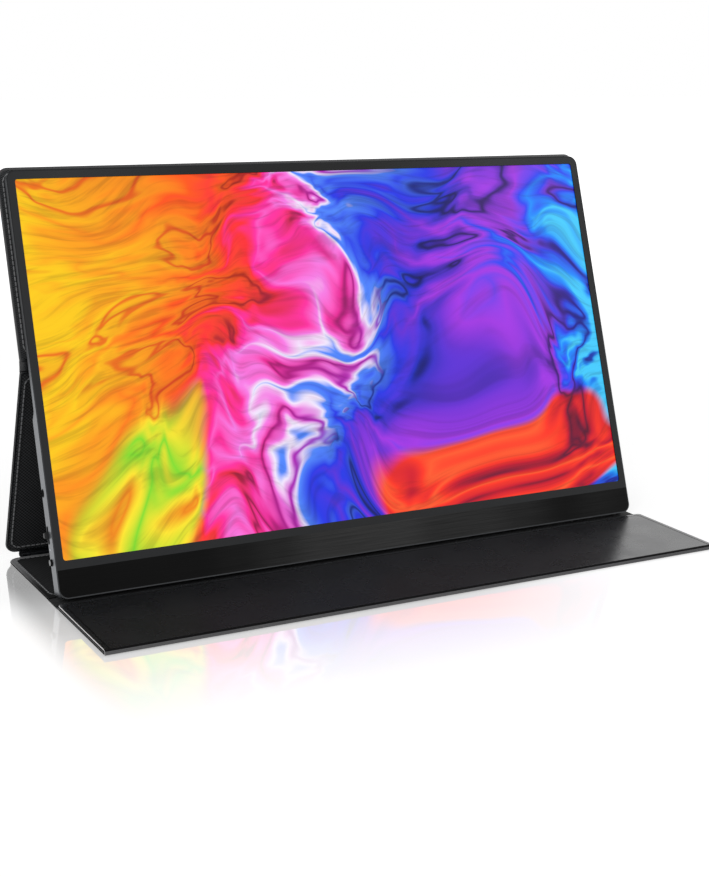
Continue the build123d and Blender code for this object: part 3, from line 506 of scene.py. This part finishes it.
# Paint across the picture from left to right: place, colour on the crests, colour in the creases
PAINT = (
    (0.00, (1.0, 0.60, 0.0), (0.85, 0.16, 0.0)),
    (0.12, (1.0, 0.30, 0.0), (0.70, 0.05, 0.0)),
    (0.22, (1.0, 0.09, 0.0), (0.45, 0.01, 0.0)),
    (0.31, (1.0, 0.02, 0.03), (0.35, 0.0, 0.04)),
    (0.39, (1.0, 0.02, 0.36), (0.42, 0.0, 0.20)),
    (0.46, (0.95, 0.20, 0.80), (0.40, 0.01, 0.45)),
    (0.505, (0.90, 0.82, 1.0), (0.18, 0.12, 0.65)),
    (0.54, (0.08, 0.25, 1.0), (0.0, 0.02, 0.32)),
    (0.63, (0.01, 0.03, 0.80), (0.0, 0.0, 0.13)),
    (0.72, (0.13, 0.02, 0.66), (0.03, 0.0, 0.16)),
    (0.80, (0.36, 0.03, 0.78), (0.06, 0.0, 0.20)),
    (0.88, (0.02, 0.05, 0.90), (0.0, 0.0, 0.25)),
    (0.95, (0.0, 0.26, 1.0), (0.0, 0.03, 0.40)),
    (1.00, (0.05, 0.60, 1.0), (0.0, 0.12, 0.70)),
)

# Flow of the paint: (scale, strength, seed, detail) of each warp, and how a seed moves the noise
FLOWS = ((0.95, 1.25, 4.3, 1.0), (2.1, 0.5, 11.2, 1.0), (4.6, 0.13, 5.1, 2.0))
SEED_Y = 0.7
SEED_Z = 1.3
BAND_STRETCH = (1.2, 2.4, 1.0)
BAND_NOISE = (1.5, 3.0, 0.5)
BAND_FOLDS = 5.0
STRAND_STRETCH = (3.0, 26.0, 1.0)
STRAND_NOISE = (1.6, 3.0, 0.6)
DRIFT_FOLDS = 0.30
DRIFT_X = 0.47
DRIFT_Y = -0.16
DRIFT_START = 0.44
CREST_LEVELS = ((0.0, 0.0), (0.11, 0.75), (0.22, 1.0))
STREAK_LEVELS = ((0.36, 0.68), (0.5, 0.95), (0.64, 1.0))
STREAK_WEIGHT = 0.8

# Yellow-green pool low on the left and red sweep low on the right:
# (across, up, half width, half height, softness)
POOL = (-0.80, -0.40, 0.24, 0.16, 0.22)
POOL_COLORS = ((0.0, (0.9, 0.25, 0.0)), (0.2, (1.0, 0.80, 0.02)), (0.5, (0.22, 0.72, 0.02)))
SWEEP = (0.62, -0.40, 0.34, 0.20, 0.07)
SWEEP_COLORS = ((0.0, (0.12, 0.0, 0.03)), (0.14, (0.60, 0.0, 0.02)), (0.36, (1.0, 0.03, 0.01)),
                (0.5, (1.0, 0.10, 0.02)))
GLASS_LEVELS = ((0.0, 0.002), (1.0, 0.006))
GLASS_ROUGH = 0.16
GLASS_SPECULAR = 0.22


def warped(tree, vector, scale, strength, seed, detail):
    """Pushes a place about by soft noise."""
    moved = vector_math(tree, "ADD", vector, (seed, seed * SEED_Y, seed * SEED_Z))
    field = noise(tree, moved, scale, detail, 0.5, "Color")
    centred = vector_math(tree, "SUBTRACT", field, (0.5, 0.5, 0.5))
    return vector_math(tree, "ADD", vector, vector_math(tree, "MULTIPLY", centred, (strength, strength, 0)))


def patch(tree, vector, at_u, at_v, wide, high, soft):
    """1 inside an ellipse, falling to 0 outside."""
    split = separated(tree, vector)
    dx = math_node(tree, "DIVIDE", math_node(tree, "SUBTRACT", split["X"], at_u), wide)
    dy = math_node(tree, "DIVIDE", math_node(tree, "SUBTRACT", split["Y"], at_v), high)
    square = math_node(tree, "ADD", math_node(tree, "MULTIPLY", dx, dx), math_node(tree, "MULTIPLY", dy, dy))
    return mapped(tree, math_node(tree, "SQRT", square), 1 - soft, 1 + soft, 1.0, 0.0)


def paint_color(tree, flat):
    """Colour of the flowing paint, and its fine strands, at a place in half widths of the picture."""
    first = warped(tree, flat, *FLOWS[0])
    second = warped(tree, first, *FLOWS[1])
    third = warped(tree, second, *FLOWS[2])
    split = separated(tree, third)
    bands = noise(tree, vector_math(tree, "MULTIPLY", third, BAND_STRETCH), *BAND_NOISE)
    folds = math_node(tree, "PINGPONG", math_node(tree, "MULTIPLY", bands, BAND_FOLDS), 0.5)
    strands = noise(tree, vector_math(tree, "MULTIPLY", second, STRAND_STRETCH), *STRAND_NOISE)
    drift = math_node(tree, "MULTIPLY_ADD", folds, DRIFT_FOLDS,
                      math_node(tree, "MULTIPLY_ADD", split["X"], DRIFT_X, DRIFT_START))
    sweep_at = math_node(tree, "ADD", drift, math_node(tree, "MULTIPLY", split["Y"], DRIFT_Y))
    bright = ramp(tree, sweep_at, [(position, on_crest) for position, on_crest, _ in PAINT])
    deep = ramp(tree, sweep_at, [(position, in_crease) for position, _, in_crease in PAINT])
    colored = mix_color(tree, grey_ramp(tree, folds, CREST_LEVELS, "EASE"), deep, bright)
    for vector, place, colors in ((third, POOL, POOL_COLORS), (second, SWEEP, SWEEP_COLORS)):
        colored = mix_color(tree, patch(tree, vector, *place), colored, ramp(tree, folds, colors))
    streak = grey_ramp(tree, strands, STREAK_LEVELS)
    return mix_color(tree, STREAK_WEIGHT, colored, streak, "MULTIPLY"), strands


def picture_material(name):
    """Lit picture: flowing paint in warm and cool colours, worked out on the screen's own plane."""
    material, tree, shader = new_material(name)
    middle = (PICTURE_LOW + ACTIVE_H / 2) * MM
    half = ACTIVE_W * MM / 2
    offset = vector_math(tree, "SUBTRACT", object_place(tree), tuple(SCREEN_ORIGIN * MM))
    up = math_node(tree, "SUBTRACT", dotted(tree, offset, SCREEN_UP), middle)
    u = math_node(tree, "DIVIDE", separated(tree, offset)["X"], half)
    v = math_node(tree, "DIVIDE", up, half)
    flat = add_node(tree, "ShaderNodeCombineXYZ", {0: u, 1: v, 2: 0.0}).outputs[0]
    colored, strands = paint_color(tree, flat)
    inside_u = math_node(tree, "LESS_THAN", math_node(tree, "ABSOLUTE", u), 1.0)
    inside_v = math_node(tree, "LESS_THAN", math_node(tree, "ABSOLUTE", v), ACTIVE_H / ACTIVE_W)
    lit = mix_color(tree, math_node(tree, "MULTIPLY", inside_u, inside_v), BLACK, colored)
    # Soft reflections, as on the leather in front of the screen, show it only weakly
    rays = tree.nodes.new("ShaderNodeLightPath")
    soft = math_node(tree, "SUBTRACT", rays.outputs["Is Glossy Ray"], rays.outputs["Is Singular Ray"],
                     clamp=True)
    shown_level = math_node(tree, "MULTIPLY_ADD", soft, SOFT_MIRROR - 1.0, 1.0)
    tree.links.new(mix_color(tree, shown_level, BLACK, lit), shader.inputs["Emission Color"])
    shader.inputs["Emission Strength"].default_value = 1.0
    tree.links.new(grey_ramp(tree, strands, GLASS_LEVELS), shader.inputs["Base Color"])
    shader.inputs["Roughness"].default_value = GLASS_ROUGH
    shader.inputs["Specular IOR Level"].default_value = GLASS_SPECULAR
    return material


# Plain surfaces: colour and roughness, then metallic, grain, variation, specular and painted light and shade
# where they differ
PLAIN = {
    # the case's colour carries painted shade up beside its cover
    "case_metal": ((0.235, 0.245, 0.26), 0.42, 0.85, 1500.0, 0.12, 0.5, case_painted_shade_and_lip),
    # the frame's top carries painted light and shade
    "bezel_plastic": ((0.0185, 0.0195, 0.021), 0.5, 0.0, 2200.0, 0.08, 0.22, bezel_painted_light),
    "film_white": ((0.8, 0.8, 0.8), 0.5),
    "clear_guide": ((0.72, 0.77, 0.8), 0.12),
    "frame_black": ((0.022, 0.022, 0.023), 0.45),
    "tray_metal": ((0.5, 0.5, 0.5), 0.35, 1.0),
    "pcb_green": ((0.012, 0.1, 0.045), 0.35, 0.0, 500.0, 0.3),
    "chip_black": ((0.018, 0.018, 0.018), 0.55),
    "flex_amber": ((0.4, 0.16, 0.02), 0.3),
    "foam_black": ((0.015, 0.015, 0.015), 0.9),
    "socket_steel": ((0.5, 0.5, 0.52), 0.3, 1.0),
    "copper": ((0.75, 0.34, 0.2), 0.3, 1.0),
    "screw_steel": ((0.42, 0.42, 0.43), 0.35, 1.0),
    "magnet_nickel": ((0.6, 0.6, 0.58), 0.2, 1.0),
    # the button's end faces carry a painted highlight
    "button_metal": ((0.50, 0.51, 0.52), 0.32, 0.6, 1800.0, 0.12, 0.1, button_painted_highlight),
    "lever_black": ((0.012, 0.012, 0.013), 0.4, 0.0, 1800.0, 0.12, 0.3),
    "light_pipe": ((0.6, 0.64, 0.68), 0.3),
    "lead_rubber": ((0.02, 0.02, 0.02), 0.6),
    "card_grey": ((0.33, 0.31, 0.29), 0.85, 0.0, 700.0, 0.2),
    # dark edge paint, also used as painted shade in the hem line and on the flap's fold
    "edge_paint_and_painted_shade": ((0.003, 0.003, 0.0033), 0.8, 0.0, 1500.0, 0.2, 0.08),
    # pale painted highlight along the leather's cut edges
    "painted_highlight_edge": ((0.78, 0.78, 0.79), 0.6, 0.0, 1500.0, 0.1, 0.2),
    "fold_painted_sheen": ((0.085, 0.085, 0.088), 0.45, 0.0, 1500.0, 0.15, 0.4),
    "margin_painted_sheen": ((0.24, 0.24, 0.245), 0.6, 0.0, 1500.0, 0.2, 0.2, painted_margin_sheen),
    "thread_grey": ((0.21, 0.213, 0.22), 0.7, 0.0, 4000.0, 0.25),
}

# Woven surfaces: colour between the yarns, colour on them, pitch in metres; the upright copy of the cloth is
# lighter than the flat one, as painted light and shade
WOVEN = {
    "lining_weave": ((0.0008, 0.0008, 0.0009), (0.019, 0.020, 0.022), 0.0024),
    "upright_weave_painted_lighter": ((0.0012, 0.0012, 0.0013), (0.058, 0.061, 0.065), 0.0019),
}
LEATHER_COLOR = (0.0086, 0.0096, 0.0114)
LEATHER_ROUGHNESS = 0.27

materials = {name: plain_material(name, *look) for name, look in PLAIN.items()}
for name, look in WOVEN.items():
    materials[name] = weave_material(name, *look)
materials["leather_black"] = leather_material("leather_black", LEATHER_COLOR, LEATHER_ROUGHNESS)
materials["chin_metal"] = brushed_material("chin_metal")
materials["display_glass"] = picture_material("display_picture")

for subpart in frame["record"]["subparts"]:
    data = nodes[subpart["node"]].data
    data.materials.clear()
    data.materials.append(materials[subpart["material_slot"]])
nodes["menu_lever"].data.materials[0] = materials["lever_black"]


# Mesh helpers
def make_object(name, points, faces, material):
    mesh = bpy.data.meshes.new(name)
    mesh.from_pydata([tuple(point) for point in points], [], faces)
    mesh.validate()
    mesh.update()
    mesh.polygons.foreach_set("use_smooth", [True] * len(mesh.polygons))
    mesh.materials.append(materials[material])
    piece = bpy.data.objects.new(name, mesh)
    bpy.context.scene.collection.objects.link(piece)
    return piece


def outline(low, high, low_r, high_r, inset, least=LEAST_R, fold_inset=None):
    """Points round a section's outline, smaller by inset, or by fold_inset on its fold side."""
    half = COVER_HALF - inset
    ends = []
    for place, radius, inner in ((high, high_r, -1), (low, low_r, 1)):
        if fold_inset is not None and radius == FOLD_R:
            ends.append((place + inner * fold_inset, LEAST_R))
        else:
            ends.append((place + inner * inset, max(radius - inset, least)))
    (high, high_r), (low, low_r) = ends
    corners = ((half - high_r, high - high_r, high_r), (high_r - half, high - high_r, high_r),
               (low_r - half, low + low_r, low_r), (half - low_r, low + low_r, low_r))
    points = []
    for quarter, (mid_x, mid_y, radius) in enumerate(corners):
        for step in range(CORNER_STEPS + 1):
            angle = math.pi / 2 * (quarter + step / CORNER_STEPS)
            points.append((mid_x + radius * math.cos(angle), mid_y + radius * math.sin(angle)))
    return points


def lofted(name, section_frame, shape, rings, material, flip):
    """Rings of one outline, joined in turn in bands of faces; the last ring is filled.

    A ring is (inset, depth, least corner), and may end with its inset from the fold side.
    """
    points = []
    faces = []
    for inset, depth, least, *fold in rings:
        points += [section_frame.at(x, y, depth) for x, y in outline(*shape, inset, least, *fold)]
    count = len(points) // len(rings)
    for ring in range(len(rings) - 1):
        here = ring * count
        above = here + count
        for index in range(count):
            after = (index + 1) % count
            quad = (here + index, here + after, above + after, above + index)
            faces.append(quad[::-1] if flip else quad)
    last = tuple((len(rings) - 1) * count + index for index in range(count))
    faces.append(last[::-1] if flip else last)
    return make_object(name, points, faces, material)


def paint_bands(piece, bands, material, only_ends=False):
    """Gives some bands of a lofted piece another material, or only their parts along the short ends."""
    mesh = piece.data
    mesh.materials.append(materials[material])
    slot_index = len(mesh.materials) - 1
    count = 4 * (CORNER_STEPS + 1)
    for polygon in mesh.polygons:
        at_end = abs(polygon.center.x) >= (COVER_HALF - SHORT_END) * MM
        if polygon.index // count in bands and (at_end or not only_ends):
            polygon.material_index = slot_index


def leather_rings(thick):
    """From the turned edge on the woven side, round the outer edge, to the outer face inside its hem."""
    rings = [(inset, thick - under, LEAST_R) for inset, under in LEATHER_TURN]
    for step in range(EDGE_STEPS + 1):
        angle = math.pi / 2 * step / EDGE_STEPS
        rings.append((EDGE_R * (1 - math.cos(angle)), HEM_DEPTH + EDGE_R * (1 - math.sin(angle)), LEAST_R))
    for step in range(HEM_STEPS + 1):
        share = step / HEM_STEPS
        ease = share * share * (3 - 2 * share)
        rings.append((HEM_IN + HEM_SLOPE * (share - 0.5), HEM_DEPTH * (1 - ease), HEM_R,
                      EDGE_R + FOLD_SIDE_STEP * (share + 1)))
    rings.append((HEM_IN + HEM_SLOPE, 0.0, HEM_R, EDGE_R + FOLD_SIDE_END))
    rings.append((HEM_IN + HEM_FAR, 0.0, HEM_R, EDGE_R + HEM_FAR))
    return rings


def weave_rings(thick):
    """Cloth from under the turned edge, over a raised welt, to the middle of the woven side."""
    rings = [(inset, thick - under, LEAST_R) for inset, under in CLOTH_TURN]
    rings.append((CLOTH_IN, thick - WELT_DEPTH / 2, LEAST_R))
    low = thick - WELT_DEPTH
    for step in range(2 * WELT_STEPS + 1):
        share = step / WELT_STEPS - 1
        rise = math.cos(share * math.pi / 2)
        rings.append((WELT_IN + WELT_HALF * share, low + WELT_DEPTH * rise, WELT_R))
    rings.append((WELT_IN + WELT_FAR, low, WELT_R))
    return rings


def add_thread(points, faces, middle, way, lift, radius):
    """One thread loop along its way, added to the points and faces."""
    first = len(points)
    side = way.cross(lift)
    for share, size in STITCH_SHAPE:
        for corner in range(STITCH_SIDES):
            angle = 2 * math.pi * corner / STITCH_SIDES
            reach = (side * math.cos(angle) + lift * math.sin(angle) * STITCH_FLAT) * radius * size * MM
            points.append(middle + way * STITCH_L * share * MM + reach)
    last = len(STITCH_SHAPE) - 1
    for ring in range(last):
        low = first + ring * STITCH_SIDES
        high = low + STITCH_SIDES
        for corner in range(STITCH_SIDES):
            after = (corner + 1) % STITCH_SIDES
            faces.append((low + corner, low + after, high + after, high + corner))
    faces.append(tuple(first + corner for corner in reversed(range(STITCH_SIDES))))
    faces.append(tuple(first + last * STITCH_SIDES + corner for corner in range(STITCH_SIDES)))


def stitches(name, section_frame, shape, body, radius):
    """Short thread loops that lie along the welt, round the whole section."""
    depth = SECTION_T - radius * STITCH_UP
    path = [section_frame.at(x, y, depth) for x, y in outline(*shape, WELT_IN, WELT_R)]
    path.append(path[0])
    points = []
    faces = []
    carry = 0.0
    for start, end in zip(path, path[1:]):
        run = end - start
        if run.length < SAME_PLACE:
            continue
        way = run.normalized()
        while carry < run.length:
            add_thread(points, faces, start + way * carry, way, section_frame.inward, radius)
            carry += STITCH_PITCH * MM
        carry -= run.length
    thread = make_object(name, points, faces, "thread_grey")
    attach(thread, body)


# Sections of the cover: frame, shape as (low, high, low corner, high corner), and body
SECTIONS = {
    "back_panel": (back_frame, (FOLD_V + HALF_FOLD, COVER_HIGH, FOLD_R, COVER_R), "monitor"),
    "leg": (leg_frame, (-LEG_L, -HALF_FOLD, COVER_R, FOLD_R), "leg"),
    "base": (desk_frame, (CARD_FRONT, BASE_REAR, FOLD_R, COVER_R), "base"),
    "middle": (desk_frame, (FLAP_FOLD_Y + FOLD_GAP, MIDDLE_REAR, FOLD_R, TIP_R), "middle_section"),
    "tip": (tip_frame, (-FLAP_FOLD_Y - TIP_D, -FLAP_FOLD_Y - FOLD_GAP, TIP_R, FOLD_R), "tip_section"),
}
for section, (section_frame, shape, body) in SECTIONS.items():
    # Faces wind the other way where across, along and inward form a right-handed set
    turned = Vector(ACROSS).cross(section_frame.along).dot(section_frame.inward) > 0
    leather = lofted(f"{section}_leather", section_frame, shape, leather_rings(SECTION_T), "leather_black",
                     turned)
    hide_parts(f"{section}_skin")
    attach(leather, body)
    if section != "back_panel":
        paint_bands(leather, EDGE_BANDS, "edge_paint_and_painted_shade")
    # The pressed hem line is painted dark, as painted shade in its groove
    paint_bands(leather, HEM_BANDS, "edge_paint_and_painted_shade")
    if section == "tip":
        # The tip's short ends get a pale painted highlight along their outer edge
        paint_bands(leather, HIGHLIGHT_BANDS, "painted_highlight_edge", True)
    # The leg and back panel take the lighter copy of the cloth, as painted light
    cloth = "upright_weave_painted_lighter" if section in ("leg", "back_panel") else "lining_weave"
    weave = lofted(f"{section}_weave", section_frame, shape, weave_rings(SECTION_T), cloth, not turned)
    if section == "base":
        # The base's margin gets a pale painted sheen towards its rear
        paint_bands(leather, MARGIN_BANDS, "margin_painted_sheen")
        paint_bands(weave, MARGIN_BANDS, "margin_painted_sheen")
    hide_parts(f"{section}_lining")
    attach(weave, body)
    thread_r = FLAP_STITCH_R if section in ("middle", "tip") else STITCH_R
    stitches(f"{section}_stitches", section_frame, shape, body, thread_r)


def strip(name, path, thick, half, material):
    """A band of leather along a path of (y, z) points, with rounded long edges."""
    edge = min(thick / 2, STRIP_EDGE)
    loops = [(-half + edge * share, size) for share, size in STRIP_ROUND]
    loops += [(half - edge * share, size) for share, size in reversed(STRIP_ROUND)]
    points = []
    for index, (y, z) in enumerate(path):
        before = Vector(path[max(index - 1, 0)])
        after = Vector(path[min(index + 1, len(path) - 1)])
        run = (after - before).normalized()
        side = Vector((-run.y, run.x)) * thick / 2
        for sign in (1, -1):
            for x, share in (loops if sign > 0 else reversed(loops)):
                points.append(Vector((x, y + sign * share * side.x, z + sign * share * side.y)) * MM)
    count = 2 * len(loops)
    faces = []
    for ring in range(len(path) - 1):
        here = ring * count
        beyond = here + count
        for index in range(count):
            after = (index + 1) % count
            faces.append((here + index, beyond + index, beyond + after, here + after))
    faces.append(tuple(range(count)))
    faces.append(tuple(len(points) - 1 - index for index in range(count)))
    return make_object(name, points, faces, material)


def curve_points(start, start_way, end, end_way, steps=FOLD_STEPS):
    """A smooth path from start to end in the Y-Z plane, leaving and arriving along the given ways."""
    points = []
    for step in range(steps + 1):
        t = step / steps
        h1 = 2 * t ** 3 - 3 * t ** 2 + 1
        h2 = t ** 3 - 2 * t ** 2 + t
        h3 = -2 * t ** 3 + 3 * t ** 2
        h4 = t ** 3 - t ** 2
        points.append(tuple(h1 * a + h2 * b + h3 * c + h4 * d
                            for a, b, c, d in zip(start, start_way, end, end_way)))
    return points


def arc_points(mid, radius, start, turn, steps=FOLD_STEPS):
    """Points on a round arc in the Y-Z plane."""
    angles = [start + turn * step / steps for step in range(steps + 1)]
    return [(mid[0] + radius * math.cos(angle), mid[1] + radius * math.sin(angle)) for angle in angles]


# Groove that the monitor's bottom edge stands in
groove = strip("groove_leather", [(y, SKIN_T / 2) for y in GROOVE_Y], SKIN_T, COVER_HALF, "leather_black")
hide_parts("groove_strip")
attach(groove, "base")
groove_cloth = strip("groove_weave", [(y, GROOVE_CLOTH_Z) for y in GROOVE_CLOTH_Y], LINING_T - THIN,
                     COVER_HALF - GROOVE_CLOTH_IN, "lining_weave")
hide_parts("groove_lining")
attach(groove_cloth, "base")

# Bare leather between the groove and the flap
front = strip("front_fold_leather", FRONT_PATH, SKIN_T - THIN, COVER_HALF, "leather_black")
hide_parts("front_strip")
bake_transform(front)

# Bare leather round the flap's front edge, pinched between its two boards
flap_arc = []
for step in range(FOLD_STEPS + 1):
    angle = math.pi * (0.5 + step / FOLD_STEPS)
    pinch = CREASE * math.exp(-((angle - math.pi) / CREASE_ANGLE) ** 2)
    radius = FLAP_FOLD_Z - SKIN_T / 2 - pinch
    flap_arc.insert(0, (FLAP_FOLD_Y + radius * math.cos(angle), FLAP_FOLD_Z + radius * math.sin(angle)))
flap_low = (FLAP_FOLD_Y + FLAP_TUCK, FLAP_TUCK_DEPTH)
flap_high = (FLAP_FOLD_Y + FLAP_TUCK, TIP_TOP - FLAP_TUCK_DEPTH)
flap_fold = strip("tip_fold_leather", [flap_low] + flap_arc + [flap_high], SKIN_T, COVER_HALF,
                  "leather_black")
# Painted light and shade on the fold: a pale painted highlight on its short ends, a dark line of painted
# shade across the band of heights set above, and a painted sheen on the faces below that band
for finish in ("painted_highlight_edge", "edge_paint_and_painted_shade", "fold_painted_sheen"):
    flap_fold.data.materials.append(materials[finish])
for polygon in flap_fold.data.polygons:
    above = polygon.center.z / MM - FLAP_FOLD_Z
    if abs(polygon.center.x) > (COVER_HALF - END_FACES) * MM:
        polygon.material_index = 1
    elif FOLD_PAINTED_SHADE[0] < above < FOLD_PAINTED_SHADE[1]:
        polygon.material_index = 2
    elif above <= FOLD_PAINTED_SHADE[0]:
        polygon.material_index = 3
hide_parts("tip_strip")
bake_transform(flap_fold)

# Bare leather of the spine between base and leg
spine_turn = math.pi / 2 + LEAN
spine_y = FOOT_Y + (FOOT_Z - SKIN_T / 2) * math.tan(LEAN) - SPINE_R * math.tan(spine_turn / 2)
spine_path = [(BASE_REAR - SPINE_TUCK, SKIN_T / 2 + HEM_DEPTH), (BASE_REAR + SPINE_START, SKIN_T / 2)]
spine_path += arc_points((spine_y, SKIN_T / 2 + SPINE_R), SPINE_R, -math.pi / 2, spine_turn)
spine_path += [(FOOT_Y, FOOT_Z), (FOOT_Y - math.sin(LEAN) - HEM_DEPTH, FOOT_Z + math.cos(LEAN))]
spine = strip("spine_leather", spine_path, SKIN_T, SPINE_HALF, "leather_black")
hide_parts("spine_strip")
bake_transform(spine)

# Bare leather between the leg and the back panel
back_reach = HALF_FOLD + BACK_TUCK
back_up = (FOLD_Y + back_reach * math.sin(TILT), FOLD_Z + back_reach * math.cos(TILT))
back_down = (FOLD_Y + back_reach * math.sin(LEAN), FOLD_Z - back_reach * math.cos(LEAN))
back_path = curve_points(back_up, (-BACK_PULL * math.sin(TILT), -BACK_PULL * math.cos(TILT)), back_down,
                         (BACK_PULL * math.sin(LEAN), -BACK_PULL * math.cos(LEAN)))
back_fold = strip("back_fold_leather", back_path, SKIN_T - BACK_THIN, COVER_HALF, "leather_black")
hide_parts("back_strip")
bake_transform(back_fold)


def floor_material():
    """Floor that is white to the camera, with a faint mirror image that fades away from the object."""
    material = bpy.data.materials.new("studio_floor")
    material.use_nodes = True
    tree = material.node_tree
    tree.nodes.clear()
    output = tree.nodes.new("ShaderNodeOutputMaterial")
    place = object_place(tree)
    # The mirror image fades towards the viewer, to both sides and behind the object
    forward = share_of(tree, dotted(tree, place, FORTH), *MIRROR_FORWARD)
    near = grey_ramp(tree, forward, MIRROR_LEVELS)
    behind = mapped(tree, dotted(tree, place, FORTH), *MIRROR_BEHIND)
    rightward = mapped(tree, dotted(tree, place, ACROSS), *MIRROR_RIGHT)
    leftward = mapped(tree, dotted(tree, place, ACROSS), *MIRROR_LEFT)
    sides = math_node(tree, "MULTIPLY", leftward, rightward)
    near = math_node(tree, "MULTIPLY", near, math_node(tree, "MULTIPLY", behind, sides))
    away = add_node(tree, "ShaderNodeVectorMath", {0: place}, operation="LENGTH").outputs["Value"]
    distant = mapped(tree, away, *FLOOR_DISTANT)
    plain = add_node(tree, "ShaderNodeBsdfDiffuse", {"Color": grey(FLOOR_TONE)})
    gloss = add_node(tree, "ShaderNodeBsdfAnisotropic", {"Color": WHITE, "Roughness": 0.0})
    surface = add_node(tree, "ShaderNodeMixShader", {0: near, 1: plain.outputs[0], 2: gloss.outputs[0]})
    rays = tree.nodes.new("ShaderNodeLightPath")
    seen = math_node(tree, "MAXIMUM", rays.outputs["Is Camera Ray"], rays.outputs["Is Glossy Ray"])
    glow_here = math_node(tree, "MULTIPLY_ADD", distant, 1.0 - FLOOR_GLOW, FLOOR_GLOW)
    glow_level = math_node(tree, "MULTIPLY", seen, glow_here)
    glow_level = math_node(tree, "MULTIPLY", glow_level, math_node(tree, "SUBTRACT", 1.0, near))
    glow = add_node(tree, "ShaderNodeEmission", {"Color": WHITE, "Strength": glow_level})
    total = add_node(tree, "ShaderNodeAddShader", {0: surface.outputs[0], 1: glow.outputs[0]})
    tree.links.new(total.outputs[0], output.inputs["Surface"])
    return material


floor_mesh = bpy.data.meshes.new("studio_floor")
floor_corners = [(x * FLOOR_REACH, y * FLOOR_REACH, FLOOR_Z) for x, y in ((-1, -1), (1, -1), (1, 1), (-1, 1))]
floor_mesh.from_pydata(floor_corners, [], [(0, 1, 2, 3)])
floor_mesh.materials.append(floor_material())
floor = bpy.data.objects.new("studio_floor", floor_mesh)
bpy.context.scene.collection.objects.link(floor)

# World: white to the camera and in reflections, softer grey as light
world = bpy.data.worlds.new("studio")
bpy.context.scene.world = world
world.use_nodes = True
sky = world.node_tree
sky.nodes.clear()
sky_out = sky.nodes.new("ShaderNodeOutputWorld")
sky_rays = sky.nodes.new("ShaderNodeLightPath")
mirrored = math_node(sky, "MAXIMUM", sky_rays.outputs["Is Glossy Ray"],
                     sky_rays.outputs["Is Transmission Ray"])
seen = math_node(sky, "MAXIMUM", sky_rays.outputs["Is Camera Ray"], mirrored)
level = math_node(sky, "MULTIPLY_ADD", seen, 1.0 - WORLD_LIGHT, WORLD_LIGHT)
sky_light = add_node(sky, "ShaderNodeBackground", {"Color": WHITE, "Strength": level})
sky.links.new(sky_light.outputs[0], sky_out.inputs["Surface"])

for name, place, width, power in LAMPS:
    lamp_data = bpy.data.lights.new(name, "AREA")
    lamp_data.shape = "SQUARE"
    lamp_data.size = width
    lamp_data.energy = power
    lamp = bpy.data.objects.new(name, lamp_data)
    lamp.location = place
    lamp.rotation_euler = (Vector(LAMP_TARGET) - Vector(place)).to_track_quat("-Z", "Y").to_euler()
    bpy.context.scene.collection.objects.link(lamp)

ahead = Vector((-math.sin(CAMERA_YAW) * math.cos(CAMERA_PITCH), math.cos(CAMERA_YAW) * math.cos(CAMERA_PITCH),
                -math.sin(CAMERA_PITCH)))
right = Vector((math.cos(CAMERA_YAW), math.sin(CAMERA_YAW), 0))
up = right.cross(ahead)
right_rolled = right * math.cos(CAMERA_ROLL) + up * math.sin(CAMERA_ROLL)
up_rolled = up * math.cos(CAMERA_ROLL) - right * math.sin(CAMERA_ROLL)
camera_turn = Matrix((right_rolled, up_rolled, -ahead)).transposed().to_4x4()
camera_data = bpy.data.cameras.new("camera")
camera_data.lens = CAMERA_LENS
camera_data.shift_x, camera_data.shift_y = CAMERA_SHIFT
camera_data.clip_start = CAMERA_NEAR
camera = bpy.data.objects.new("camera", camera_data)
camera.matrix_world = Matrix.Translation(Vector(CAMERA_PLACE) * MM) @ camera_turn
bpy.context.scene.collection.objects.link(camera)
bpy.context.scene.camera = camera
bpy.context.scene.view_settings.view_transform = "Standard"
